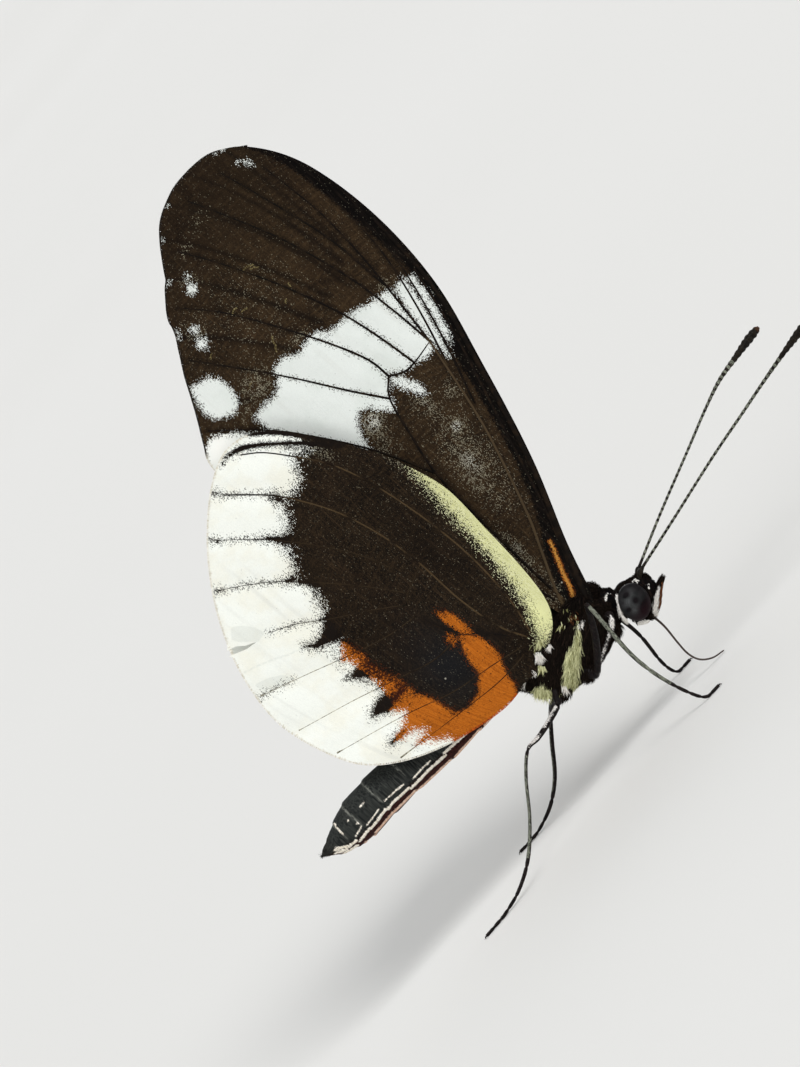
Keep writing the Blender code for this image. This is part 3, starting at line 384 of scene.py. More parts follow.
PALP = (
    (23.9, 0.68, 6.9, 0.22), (24.2, 0.76, 6.43, 0.25), (24.85, 0.76, 6.66, 0.31), (25.4, 0.72, 6.94, 0.27),
    (25.9, 0.66, 7.2, 0.17), (26.35, 0.6, 7.4, 0.1), (26.7, 0.55, 7.52, 0.05),
)
PROBOSCIS = (
    (24.1, 0.0, 7.0, 0.16), (24.25, 0.0, 6.0, 0.13), (24.25, 0.0, 5.0, 0.11), (24.05, 0.0, 3.7, 0.1),
    (23.95, 0.0, 2.6, 0.1), (24.2, 0.0, 1.7, 0.09), (24.9, 0.0, 1.1, 0.08), (25.8, 0.0, 0.86, 0.06),
)
# How wide the white stripes of foreleg and palp are, by share of the length and by place ahead.
FORELEG_STRIPE_WIDTHS = ((0.2, 0.3, 0.42, 0.5, 0.9, 1.0), (-0.1, 0.16, 0.15, 0.04, 0.04, 0.0))
PALP_STRIPE_WIDTHS = ((24.1, 24.5, 25.1, 25.6, 25.95), (0.13, 0.17, 0.16, 0.1, 0.02))

# Brushes of hair: ahead, up and out of their roots, spread ahead and up, number, length, slope, mark.
ROOT_TUFTS = (
    (16.85, 10.65, 1.85, 0.11, 0.11, 150, 0.66, -110, "white"),
    (15.75, 10.15, 1.8, 0.06, 0.06, 60, 0.42, -110, "white"),
    (14.85, 10.1, 1.65, 0.07, 0.06, 60, 0.6, -165, "white"),
    (17.95, 10.5, 1.8, 0.05, 0.05, 40, 0.55, -145, "white"),
    (17.7, 11.2, 1.8, 0.28, 0.14, 150, 0.4, -140, "stripe"),
    (16.4, 9.95, 1.85, 0.1, 0.1, 60, 0.5, -125, "stripe"),
    (16.45, 7.75, 1.4, 0.09, 0.08, 80, 0.6, -120, "white"),
    (15.9, 7.75, 1.3, 0.08, 0.08, 40, 0.35, -125, "stripe"),
    (15.45, 8.8, 1.2, 0.25, 0.28, 260, 0.8, -140, "stripe"),
    (20.55, 10.9, 1.9, 0.16, 0.2, 26, 0.4, -120, "stripe"),
    (20.5, 10.8, 1.9, 0.2, 0.2, 40, 0.4, -120, "palp"),
    (19.4, 10.85, 2.0, 0.12, 0.1, 16, 0.35, -140, "stripe"), (16.2, 10.3, 1.6, 0.3, 0.2, 80, 0.45, -145, ""),
    (17.9, 11.1, 1.6, 0.25, 0.15, 60, 0.4, -145, ""), (15.2, 10.3, 1.55, 0.3, 0.2, 60, 0.4, -145, ""),
    (20.2, 10.7, 1.7, 0.4, 0.3, 200, 0.45, -140, ""), (21.3, 11.1, 1.6, 0.4, 0.3, 240, 0.45, -140, ""),
    (19.2, 10.6, 1.75, 0.4, 0.25, 180, 0.45, -145, ""),
)

# Markings of the body seen from the side.
THORAX_STRIPE = (
    (16.9, 8.1), (17.15, 8.2), (18.05, 9.0), (18.6, 9.35), (19.3, 9.35), (20.0, 9.75), (20.45, 10.05),
    (20.5, 9.85), (20.15, 9.5), (19.6, 8.95), (19.2, 8.65), (18.2, 7.8), (17.35, 7.05), (17.0, 7.1),
    (16.85, 7.7),
)
THORAX_TUFT = (
    (14.7, 8.5), (15.1, 9.0), (15.8, 9.15), (15.95, 8.95), (15.7, 8.4), (15.4, 7.95), (15.25, 7.7),
    (14.85, 7.8),
)
# White marks of the thorax and head, as a line and how wide they reach to each side of it.
BODY_MARKS = (
    (((20.45, 9.7), (20.75, 9.85)), 0.13), (((22.95, 9.58), (23.15, 9.75), (23.3, 9.72)), 0.06),
    (((22.0, 10.4), (22.25, 10.6)), 0.1), (((17.0, 6.75), (17.15, 6.72)), 0.07),
    (((17.6, 6.8), (17.75, 6.85)), 0.06), (((25.22, 9.0), (25.36, 8.76)), 0.08),
    (((25.5, 7.9), (25.65, 8.05)), 0.06), (((25.95, 8.9), (26.0, 8.92)), 0.05),
    (((24.5, 9.37), (24.65, 9.4)), 0.03),
)
CHEEK_LINE = ((23.2, 6.72), (23.45, 6.52), (23.7, 6.3))
PALP_STRIPE = ((24.3, 6.3), (24.7, 6.6), (25.1, 6.85), (25.5, 7.08), (25.85, 7.28))
# Lines of cream and rust along the abdomen.
ABDOMEN_CREAM = (
    ((-2.6, 11.65), (-2.2, 11.4), (-1.15, 11.3)), ((-1.0, 11.08), (0.05, 11.2)),
    ((0.2, 11.12), (1.85, 11.28)), ((-2.5, 11.9), (-2.2, 11.7), (-1.9, 11.5)),
    ((-2.25, 11.2), (-1.9, 11.05), (-1.35, 10.95)), ((1.95, 11.15), (2.6, 11.22), (4.0, 11.05)),
    ((4.1, 10.9), (5.8, 10.85), (7.4, 10.65)), ((7.5, 10.85), (8.6, 10.72), (9.6, 10.6)),
    ((10.4, 10.5), (12.2, 10.4)),
)
ABDOMEN_DASHES = (
    ((-0.95, 11.55), (-0.2, 11.75)), ((0.2, 11.55), (0.8, 11.58), (1.5, 11.66)),
    ((2.3, 11.75), (3.3, 11.65), (3.9, 11.52)), ((4.7, 11.3), (5.7, 11.3), (6.4, 11.22)),
    ((-2.5, 12.0), (-2.35, 11.9)), ((-0.5, 12.7), (-0.45, 12.68)), ((0.8, 12.74), (0.86, 12.74)),
    ((1.1, 12.74), (1.16, 12.74)), ((-0.2, 12.15), (-0.18, 12.05)),
    ((-1.3, 13.15), (-1.42, 12.7), (-1.44, 12.3)),
)
ABDOMEN_UNDERLINE = (
    ((-0.85, 10.62), (-0.65, 10.45), (0.05, 10.45)), ((0.2, 10.62), (2.0, 10.66), (4.1, 10.5)),
    ((4.25, 10.36), (7.4, 10.05)), ((7.8, 10.0), (10.4, 9.95)), ((10.8, 9.92), (13.0, 9.85)),
)


def tint(red, green, blue):
    """The colour that looks like this on a screen, each part from 0 to 255."""
    parts = [part / 255 for part in (red, green, blue)]
    return (*[p / 12.92 if p < 0.04045 else ((p + 0.055) / 1.055) ** 2.4 for p in parts], 1.0)


def smooth_line(points, step, closed=False):
    """Points about a step apart on a smooth curve through the given points, of any dimension."""
    points = [Vector(p) for p in points]
    count = len(points)
    line = []
    for i in range(count if closed else count - 1):
        start, end = points[i], points[(i + 1) % count]
        before = points[i - 1] if closed or i > 0 else points[0] * 2 - points[1]
        after = points[(i + 2) % count] if closed or i + 2 < count else end * 2 - start
        pieces = max(1, round((end - start).length / step))
        for k in range(pieces):
            t = k / pieces
            line.append(0.5 * (2 * start + (end - before) * t
                               + (2 * before - 5 * start + 4 * end - after) * t * t
                               + (3 * start - 3 * end + after - before) * t * t * t))
    if not closed:
        line.append(points[-1])
    return [tuple(p) for p in line]


def rise(low, high, value):
    """Nought below low, one above high, and smooth between."""
    t = np.clip((value - low) / (high - low), 0, 1)
    return t * t * (3 - 2 * t)


def line_distance(points, line, closed=False):
    """How far each (ahead, up) point lies from a line."""
    line = np.array(line, float)
    ends = np.roll(line, -1, 0) if closed else line[1:]
    best = np.full(len(points), 1e9)
    for start, end in zip(line, ends):
        along = end - start
        t = np.clip((points - start) @ along / max(along @ along, 1e-12), 0, 1)
        gap = points - start - t[:, None] * along
        best = np.minimum(best, np.hypot(gap[:, 0], gap[:, 1]))
    return best


def nearest(points, lines):
    """How far each point lies from the nearest of several lines."""
    return np.minimum.reduce([line_distance(points, line) for line in lines])


def strokes(points, lines, wobble=0.0):
    """How deep each point lies in strokes, given as lines and how wide they reach to each side."""
    return np.maximum.reduce([wide + wobble - line_distance(points, line) for line, wide in lines])


def patch_depth(points, outline):
    """How far each (ahead, up) point lies inside a closed outline, less than nought outside it."""
    line = np.array(outline, float)
    inside = np.zeros(len(points), bool)
    for a, b in zip(line, np.roll(line, -1, 0)):
        if a[1] != b[1]:
            crosses = (a[1] > points[:, 1]) != (b[1] > points[:, 1])
            reach = a[0] + (b[0] - a[0]) * (points[:, 1] - a[1]) / (b[1] - a[1])
            inside ^= crosses & (points[:, 0] < reach)
    gap = line_distance(points, line, closed=True)
    return np.where(inside, gap, -gap)


def deepest(points, outlines):
    """The same for several outlines, the deepest of them."""
    return np.maximum.reduce([patch_depth(points, outline) for outline in outlines])


def spot_depth(points, spots):
    """The same for round spots."""
    depths = [radius - np.hypot(points[:, 0] - ahead, points[:, 1] - up) for ahead, up, radius in spots]
    return np.maximum.reduce(depths)


def cloud_share(points, clouds):
    """How thick several soft clouds together are at each point."""
    share = np.zeros(len(points))
    for ahead, up, wide, tall, most in clouds:
        share += most * np.exp(-((points[:, 0] - ahead) / wide) ** 2 - ((points[:, 1] - up) / tall) ** 2)
    return share


def even(points, value):
    """One value for every point."""
    return np.full(len(points), value)


def vertex_vectors(mesh, kind="co"):
    vectors = np.zeros(len(mesh.vertices) * 3, np.float32)
    mesh.vertices.foreach_get(kind, vectors)
    return vectors.reshape(-1, 3).astype(float)


def set_values(mesh, **named):
    """Stores a number or a vector for each vertex under each name."""
    for name, values in named.items():
        values = np.asarray(values, np.float32)
        kind, field = ("FLOAT_VECTOR", "vector") if values.ndim == 2 else ("FLOAT", "value")
        mesh.attributes.new(name, kind, "POINT").data.foreach_set(field, values.ravel())


def new_object(name, data):
    obj = bpy.data.objects.new(name, data)
    bpy.context.scene.collection.objects.link(obj)
    return obj


def piece(name, mesh, finish, slot, *nodes):
    """An object from a mesh in millimetres, placed in the model."""
    mesh.transform(TO_METRES)
    mesh.materials.clear()
    mesh.materials.append(finish)
    obj = new_object(name, mesh)
    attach(obj, "root")
    if nodes:
        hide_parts(*nodes)


def evaluated_mesh(obj):
    """The mesh of an object with its modifiers, which takes the object's place."""
    graph = bpy.context.evaluated_depsgraph_get()
    mesh = bpy.data.meshes.new_from_object(obj.evaluated_get(graph))
    bpy.data.objects.remove(obj, do_unlink=True)
    return mesh


def opened(mesh):
    """A mesh as a bmesh."""
    bm = bmesh.new()
    bm.from_mesh(mesh)
    return bm


def written(bm, mesh=None, outwards=False):
    """Writes a bmesh to a mesh, by default a new one, with its faces turned outwards if asked."""
    if outwards:
        bmesh.ops.recalc_face_normals(bm, faces=bm.faces)
    if mesh is None:
        mesh = bpy.data.meshes.new("form")
    bm.to_mesh(mesh)
    bm.free()
    return mesh


def tube_mesh(lines, sides):
    """Closed tapering tubes along lines of (ahead, out, up, radius)."""
    curve = bpy.data.curves.new("tube", "CURVE")
    curve.dimensions = "3D"
    curve.bevel_depth = 1.0
    curve.bevel_resolution = sides // 2 - 2
    curve.use_fill_caps = True
    for line in lines:
        spline = curve.splines.new("POLY")
        spline.points.add(len(line) - 1)
        for point, (ahead, out, up, radius) in zip(spline.points, line):
            point.co = (ahead, out, up, 1.0)
            point.radius = radius
    mesh = evaluated_mesh(new_object("tube", curve))
    bm = opened(mesh)
    bmesh.ops.remove_doubles(bm, verts=bm.verts, dist=0.0005)
    written(bm, mesh, outwards=True)
    mesh.shade_smooth()
    return mesh


# Shader nodes.


class Nodes:
    """A node tree, with short ways to add what the finishes need."""

    def __init__(self, tree):
        self.tree = tree

    def feed(self, socket, value):
        """Links a socket's value or sets a plain one."""
        if isinstance(value, bpy.types.NodeSocket):
            self.tree.links.new(value, socket)
        else:
            socket.default_value = value

    def add(self, kind, sockets=None, **settings):
        """The outputs of a new node."""
        node = self.tree.nodes.new(kind)
        for name, value in settings.items():
            setattr(node, name, value)
        for key, value in (sockets or {}).items():
            self.feed(node.inputs[key], value)
        return node.outputs

    def maths(self, operation, first, second=0.0, clamp=False):
        return self.add("ShaderNodeMath", {0: first, 1: second}, operation=operation, use_clamp=clamp)[0]

    def plus(self, first, second):
        return self.maths("ADD", first, second)

    def less(self, first, second):
        return self.maths("SUBTRACT", first, second)

    def times(self, first, second):
        return self.maths("MULTIPLY", first, second)

    def ramp(self, value, low, high):
        """Nought below low, one above high, and smooth between."""
        sockets = {"Value": value, "From Min": low, "From Max": high}
        return self.add("ShaderNodeMapRange", sockets, interpolation_type="SMOOTHSTEP")[0]

    def mixed(self, factor, first, second):
        return self.add("ShaderNodeMix", {0: factor, 6: first, 7: second}, data_type="RGBA")[2]

    def layers(self, colour, *coats):
        """Lays colours over a first one, each as its mask, the colour and the most it covers, if not all."""
        for mask, over, *most in coats:
            colour = self.mixed(self.times(mask, most[0]) if most else mask, colour, over)
        return colour

    def stored(self, name, output="Fac"):
        return self.add("ShaderNodeAttribute", attribute_name=name)[output]

    def place(self):
        """Object coordinates in millimetres."""
        sockets = {0: self.add("ShaderNodeTexCoord")["Object"], "Scale": 1 / MM}
        return self.add("ShaderNodeVectorMath", sockets, operation="SCALE")[0]

    def noise(self, vector, scale, detail=2.0, roughness=0.5):
        sockets = {"Vector": vector, "Scale": scale, "Detail": detail, "Roughness": roughness}
        return self.add("ShaderNodeTexNoise", sockets)["Fac"]

    def streaks(self, lie, across, along, detail=2.0, roughness=0.6):
        """Noise drawn out along the rows of scales or across them."""
        drawn_out = self.add("ShaderNodeMapping", {"Vector": lie, "Scale": (across, along, 1.0)})[0]
        return self.noise(drawn_out, 1.0, detail, roughness)

    def cells(self, vector, scale, randomness):
        """Cells with a distance from their middle, and a random number for each."""
        sockets = {"Vector": vector, "Scale": scale, "Randomness": randomness}
        made = self.add("ShaderNodeTexVoronoi", sockets)
        return made["Distance"], self.add("ShaderNodeSeparateColor", {0: made["Color"]})

    def group(self, tree, **sockets):
        return self.add("ShaderNodeGroup", sockets, node_tree=tree)


class Finish(Nodes):
    """A material under way. Values that are the same all over are set on its shader."""

    def __init__(self, name, **constants):
        self.material = bpy.data.materials.new(name)
        self.material.use_nodes = True
        super().__init__(self.material.node_tree)
        self.shader = self.tree.nodes["Principled BSDF"].inputs
        for socket, value in constants.items():
            self.shader[socket.replace("_", " ")].default_value = value

    def masked(self, name, pick, spread, waver=0.5):
        """The mask of the field whose depth the mesh stores under this name."""
        return self.group(RAGGED_EDGE, Depth=self.stored(name), Pick=pick, Spread=spread, Waver=waver)[0]

    def finished(self, colour, rough=None, relief=None, depth=0.02, strength=0.5):
        """The material, with a colour, a roughness as a value and its range, and a relief."""
        self.feed(self.shader["Base Color"], colour)
        if rough is not None:
            self.feed(self.shader["Roughness"], self.ramp(*rough))
        if relief is not None:
            sockets = {"Height": relief, "Distance": depth * MM, "Strength": strength}
            self.feed(self.shader["Normal"], self.add("ShaderNodeBump", sockets)[0])
        return self.material


def new_group(name, inputs, outputs):
    """A node group with named inputs, vectors where they have no value, and named outputs."""
    tree = bpy.data.node_groups.new(name, "ShaderNodeTree")
    for socket, value in inputs.items():
        kind = "NodeSocketVector" if value is None else "NodeSocketFloat"
        made = tree.interface.new_socket(socket, in_out="INPUT", socket_type=kind)
        if value is not None:
            made.default_value = value
    for socket in outputs:
        tree.interface.new_socket(socket, in_out="OUTPUT", socket_type="NodeSocketFloat")
    return Nodes(tree), tree.nodes.new("NodeGroupInput").outputs, tree.nodes.new("NodeGroupOutput").inputs


def scale_cover_group():
    """Overlapping wing scales in rows: a random pick for each scale, and the rows' relief."""
    inputs = {"Lie": None, "Width": 0.045, "Length": 0.075}
    f, start, end = new_group("scale_cover", inputs, ("Pick", "Relief"))
    across, along = (f.maths("DIVIDE", 1.0, start[name]) for name in ("Width", "Length"))
    sizes = f.add("ShaderNodeCombineXYZ", {"X": across, "Y": along, "Z": 1.0})[0]
    rows = f.add("ShaderNodeVectorMath", {0: start["Lie"], 1: sizes}, operation="MULTIPLY")[0]
    distance, picks = f.cells(rows, 1.0, 0.75)
    f.feed(end["Pick"], picks[0])
    f.feed(end["Relief"], f.maths("SUBTRACT", 1.0, distance, clamp=True))
    return f.tree


def ragged_edge_group():
    """A field's mask whose edge breaks up scale by scale."""
    inputs = {"Depth": 0.0, "Pick": 0.5, "Spread": 0.2, "Waver": 0.5}
    f, start, end = new_group("ragged_edge", inputs, ("Mask",))
    swing = f.times(f.less(start["Pick"], 0.5), 2.0)
    # Squaring keeps most scales close to the edge and lets a few stray further.
    stray = f.times(f.times(swing, f.maths("ABSOLUTE", swing)), start["Spread"])
    waver = f.times(f.less(start["Waver"], 0.5), start["Spread"])
    depth = f.plus(f.plus(start["Depth"], stray), waver)
    f.feed(end["Mask"], f.ramp(depth, -0.02, 0.02))
    return f.tree


SCALE_COVER = scale_cover_group()
RAGGED_EDGE = ragged_edge_group()


def wing_finish(name, deep, warm, lit, halo, white, cream, spread, rippled):
    """Wing membrane: dark scales with paler stray ones, and the white, orange and yellow fields."""
    f = Finish(name, Specular_IOR_Level=0.04)
    lie = f.stored("lie", "Vector")
    cover = f.group(SCALE_COVER, Lie=lie, Width=0.038, Length=0.062)
    pick = cover["Pick"]
    place = f.place()
    waver = f.noise(place, 2.2, 3.0, 0.6)
    broad = f.noise(place, 0.4, 3.0, 0.6)
    streaks = f.streaks(lie, 6.0, 0.4, 3.0, 0.65)
    fine = f.streaks(lie, 18.0, 1.2)
    rows = f.streaks(lie, 1.1, 4.2)
    specks = f.times(f.less(f.noise(place, 7.5, 2.0, 0.7), 0.5), 2.0)
    lighter_tone_and_painted_light = f.stored("lighter_tone_and_painted_light")
    dust = f.stored("dust")
    orange_depth = f.stored("orange")
    # Loose scales: dusted areas, single pale scales, and rows that catch the light.
    loose = f.times(f.plus(dust, f.times(f.ramp(fine, 0.6, 0.8), 0.14)), f.ramp(waver, 0.3, 0.55))
    powder = f.mixed(f.ramp(dust, 0.25, 0.6), tint(140, 134, 114), tint(214, 214, 202))
    fleck_gap, fleck_picks = f.cells(place, 0.9, 1.0)
    fleck_size = f.times(f.ramp(fleck_picks[1], 0.5, 1.0), 0.08)
    ground = f.layers(
        f.mixed(f.ramp(broad, 0.35, 0.65), deep, warm),
        (f.ramp(streaks, 0.5, 0.75), lit, 0.6),
        (f.ramp(rows, 0.48, 0.66), lit, rippled),
        (f.less(1.0, f.ramp(f.stored("vein"), 0.08, 0.36)), halo, 0.6),
        (f.ramp(pick, 0.45, 1.0), f.mixed(0.5, lit, tint(88, 72, 50)), 0.35),
        (f.stored("ray"), tint(17, 12, 9), 0.75),
        (f.stored("blue"), f.mixed(pick, tint(17, 18, 20), tint(30, 31, 33)), 0.85),
        (f.masked("black", pick, 0.2, waver),
         f.mixed(f.ramp(streaks, 0.45, 0.7), tint(9, 7, 6), tint(26, 20, 16))),
        (f.ramp(f.plus(pick, loose), 0.97, 1.03), powder, 0.85),
        (f.maths("LESS_THAN", fleck_gap, fleck_size), tint(170, 166, 152), 0.7),
    )
    orange = f.layers(
        f.mixed(f.ramp(streaks, 0.35, 0.7), tint(180, 98, 26), tint(148, 76, 18)),
        (f.ramp(fine, 0.55, 0.75), tint(120, 56, 18), 0.5),
        (f.ramp(pick, 0.5, 1.0), tint(206, 122, 42), 0.4),
    )
    orange = f.layers(
        f.mixed(f.ramp(orange_depth, -0.15, 0.12), tint(92, 46, 20), orange),
        # Along the forewing's streak the orange turns gold.
        (lighter_tone_and_painted_light, tint(176, 134, 66)),
        (f.ramp(f.plus(f.stored("shadow"), specks), 0.12, 0.62), tint(52, 24, 14)),
    )
    yellow = f.layers(
        f.mixed(f.ramp(fine, 0.3, 0.75), tint(214, 214, 160), tint(184, 184, 128)),
        (f.ramp(pick, 0.6, 1.0), tint(228, 228, 198), 0.5),
        (lighter_tone_and_painted_light, tint(230, 231, 170)),
    )
    pale = f.layers(
        f.mixed(f.ramp(broad, 0.42, 0.68), white, cream),
        # Painted shade: faint grey streaks along the rows, for folds between the veins.
        (f.ramp(f.streaks(lie, 1.3, 0.12, roughness=0.5), 0.52, 0.8), tint(208, 209, 202), 0.35),
        (f.ramp(pick, 0.0, 1.0), tint(186, 190, 188), 0.14),
        # Painted light on the forewing's white where the hindwing shades it.
        (lighter_tone_and_painted_light, tint(255, 254, 248)),
        # Painted shade in the margin's folds and crease.
        (f.ramp(f.stored("fold"), -0.05, 0.03), tint(206, 210, 202), 0.35),
        (f.ramp(f.plus(f.times(f.stored("specks"), 2.0), specks), 0.42, 0.6), tint(38, 34, 27), 0.85),
    )
    # The white breaks up less beside the orange, and all edges a little in streaks along the rows of scales.
    reach = f.times(f.less(1.0, f.times(f.ramp(orange_depth, -0.4, 0.0), 0.35)), spread)
    feather = f.plus(f.times(f.less(fine, 0.5), 1.2), waver)
    gold = f.ramp(f.plus(f.stored("scratch"), f.times(pick, 0.08)), 0.0, 0.06)
    ground = f.layers(
        ground,
        (gold, f.mixed(pick, tint(88, 74, 46), tint(160, 146, 98)), 0.55),
        (f.masked("orange", pick, spread * 0.5, feather), orange),
        (f.masked("yellow", pick, 0.75, feather), yellow),
        (f.masked("white", pick, reach, feather), pale),
        (f.masked("teeth", pick, 0.5, feather), tint(24, 19, 16)),
    )
    return f.finished(ground, (pick, -1.4, 1.4), f.plus(cover["Relief"], f.times(streaks, 1.5)))


def vein_finish():
    """Wing veins: dark, gold-brown in places on the hindwing, and worn where they cross the white.

    The gold-brown is partly the veins' colour and partly painted sheen on their ridges.
    """
    f = Finish("wing_veins", Specular_IOR_Level=0.05)
    place = f.place()
    worn = f.ramp(f.noise(place, 1.6, 3.0, 0.6), 0.42, 0.66)
    broken = f.ramp(f.noise(place, 6.0, 3.0, 0.7), 0.38, 0.6)
    ends = f.ramp(f.noise(place, 0.7), 0.3, 0.5)
    grain = f.noise(place, 14.0, 1.0)
    # Gold-brown veins: partly their colour, partly painted sheen on their ridges.
    golden = f.stored("golden")
    shade = f.layers(
        f.mixed(worn, tint(17, 13, 10), tint(34, 26, 19)),
        (golden, f.mixed(ends, tint(27, 20, 14), f.mixed(grain, tint(46, 36, 25), tint(88, 71, 48)))),
        (f.ramp(golden, 1.1, 1.5), tint(70, 58, 42), 0.85),
        (f.ramp(f.stored("orange"), -0.05, 0.05), f.mixed(worn, tint(36, 18, 10), tint(112, 60, 24))),
        (f.times(f.ramp(f.stored("white"), 0.1, 0.6), f.stored("faded")),
         f.mixed(broken, tint(70, 66, 46), tint(184, 180, 160))),
    )
    return f.finished(shade, (worn, -2.0, 1.6), grain)


def fringe_finish():
    """Cilia that take the colour of the field they grow from."""
    f = Finish("wing_fringe", Specular_IOR_Level=0.1, Roughness=0.75)
    pick = f.stored("pick")
    shade = f.layers(
        f.mixed(pick, tint(18, 14, 11), tint(44, 36, 28)),
        (f.ramp(f.stored("orange"), -0.1, 0.1), f.mixed(pick, tint(190, 90, 24), tint(150, 66, 18))),
        (f.ramp(f.stored("yellow"), -0.1, 0.1), tint(214, 216, 150)),
        (f.ramp(f.stored("white"), -0.1, 0.1), f.mixed(pick, tint(244, 243, 236), tint(214, 208, 190))),
    )
    return f.finished(shade)


def body_shades(f, pick, waver):
    """The body's colours, from the depths that skin and tufts both store."""
    marks = (
        ("stripe", 0.14, tint(112, 112, 58), tint(238, 238, 188)),
        ("palp", 0.12, tint(52, 26, 16), tint(122, 74, 42)),
        ("rust", 0.05, tint(196, 150, 124), tint(236, 208, 188)),
        ("cream", 0.05, tint(220, 208, 188), tint(250, 244, 232)),
        ("white", 0.12, tint(196, 190, 182), tint(252, 249, 242)),
    )
    return f.layers(
        f.mixed(f.ramp(f.noise(f.place(), 0.8), 0.35, 0.65), tint(6, 5, 6), tint(15, 11, 10)),
        (f.ramp(pick, 0.8, 1.0), tint(66, 50, 42), 0.4),
        (f.stored("slate"), f.mixed(pick, tint(26, 28, 28), tint(60, 62, 59))),
        (f.stored("maroon"), f.mixed(pick, tint(30, 14, 14), tint(66, 38, 34))),
        # Pale grey at each ring's hind edge on the abdomen's back is painted sheen.
        (f.times(f.stored("rim"), pick), tint(140, 141, 132)),
        *((f.masked(field, pick, spread, waver), f.mixed(pick, low, high))
          for field, spread, low, high in marks),
    )


def skin_finish():
    f = Finish("body_skin", Specular_IOR_Level=0.02)
    place = f.place()
    cover = f.group(SCALE_COVER, Lie=place, Width=0.06, Length=0.08)
    pick = cover["Pick"]
    shade = body_shades(f, pick, f.noise(place, 3.0))
    return f.finished(shade, (pick, -1.0, 1.8), cover["Relief"], 0.03, 0.7)


def coat_finish():
    """Hair in the colours of the skin, with paler tips."""
    f = Finish("body_hair", Specular_IOR_Level=0.02, Roughness=0.8)
    shade = body_shades(f, f.stored("pick"), 0.5)
    return f.finished(f.layers(shade, (f.stored("tip"), tint(120, 104, 84), 0.05)))


def shell_finish(name, dark, brown):
    """Legs and feelers: dark shell under fine scales, with pale scales where the mesh stores them.

    On the legs' upper sides the grey and white are partly painted sheen.
    """
    f = Finish(name, Specular_IOR_Level=0.07)
    place = f.place()
    cover = f.group(SCALE_COVER, Lie=place, Width=0.03, Length=0.05)
    pick = cover["Pick"]
    waver = f.noise(place, 2.5)
    shade = f.layers(
        f.mixed(f.ramp(waver, 0.3, 0.7), dark, brown),
        (f.ramp(pick, 0.75, 1.0), tint(92, 90, 84), 0.18),
        (f.masked("grey", pick, 0.12, waver), f.mixed(pick, tint(56, 59, 51), tint(138, 141, 126))),
        (f.masked("rust", pick, 0.1, waver), tint(70, 46, 30)),
        (f.masked("white", pick, 0.1, waver), f.mixed(pick, tint(170, 164, 158), tint(240, 236, 230))),
    )
    return f.finished(shade, (pick, -0.9, 2.2), cover["Relief"])


def eye_finish():
    """Faceted eye: near black, maroon below, with painted reflections: dark spots in a pale haze, shown
    through the facets.
    """
    f = Finish("eye_glass", Roughness=0.35, Specular_IOR_Level=0.06)
    place = f.place()
    facet = f.cells(place, 16.0, 0.35)[0]
    dots = f.less(1.0, f.ramp(facet, 0.1, 0.5))
    # The painted reflection, lighter at the middle of each facet.
    glow = f.times(f.maths("MAXIMUM", f.stored("glow"), 0.0), f.plus(0.55, f.times(dots, 0.45)))
    shade = f.layers(
        f.mixed(f.ramp(f.noise(place, 2.1, 1.0), 0.4, 0.6), tint(6, 5, 6), tint(20, 16, 18)),
        (f.stored("below"), tint(26, 9, 14)),
        (glow, tint(104, 106, 106)),
    )
    return f.finished(shade, relief=f.less(1.0, facet), strength=0.35)


def tongue_finish():
    f = Finish("tongue", Specular_IOR_Level=0.45)
    sockets = {"Vector": f.place(), "Scale": 3.2, "Distortion": 1.0}
    rings = f.add("ShaderNodeTexWave", sockets, bands_direction="Z")["Fac"]
    shade = f.mixed(rings, tint(30, 21, 18), tint(66, 46, 34))
    return f.finished(shade, (rings, -1.0, 2.5), rings, strength=0.6)


VEIN_FINISH = vein_finish()
FRINGE_FINISH = fringe_finish()
SKIN_FINISH = skin_finish()
COAT_FINISH = coat_finish()
LEG_FINISH = shell_finish("leg_shell", tint(13, 10, 12), tint(28, 21, 20))
FEELER_FINISH = shell_finish("feeler_shell", tint(16, 14, 12), tint(34, 29, 22))
EYE_FINISH = eye_finish()
TONGUE_FINISH = tongue_finish()

# Wings. The margin names the part of the outline that carries a fringe.
Wing = namedtuple("Wing", "outline veins root margin vein_radii finish")
WINGS = {
    "forewing": Wing(
        FOREWING_OUTLINE, FOREWING_VEINS, (21.2, 9.0), slice(9, 32), ((0.14, 0.1), (0.11, 0.08)),
        wing_finish("forewing_scales", tint(29, 21, 14), tint(42, 31, 20), tint(66, 51, 34),
                    tint(18, 13, 9), tint(226, 230, 225), tint(218, 223, 217), 0.36, 0.45)),
    "hindwing": Wing(
        HINDWING_OUTLINE, HINDWING_VEINS, (17.2, 9.5), slice(10, 26), ((0.1, 0.08), (0.085, 0.07)),
        wing_finish("hindwing_scales", tint(15, 11, 9), tint(25, 19, 14), tint(60, 46, 32),
                    tint(30, 22, 15), tint(244, 246, 238), tint(240, 239, 226), 0.75, 0.22)),
}


def vein_distance(kind, flat):
    return nearest(flat, [smooth_line(vein, 1.0) for vein in WINGS[kind].veins.values()])


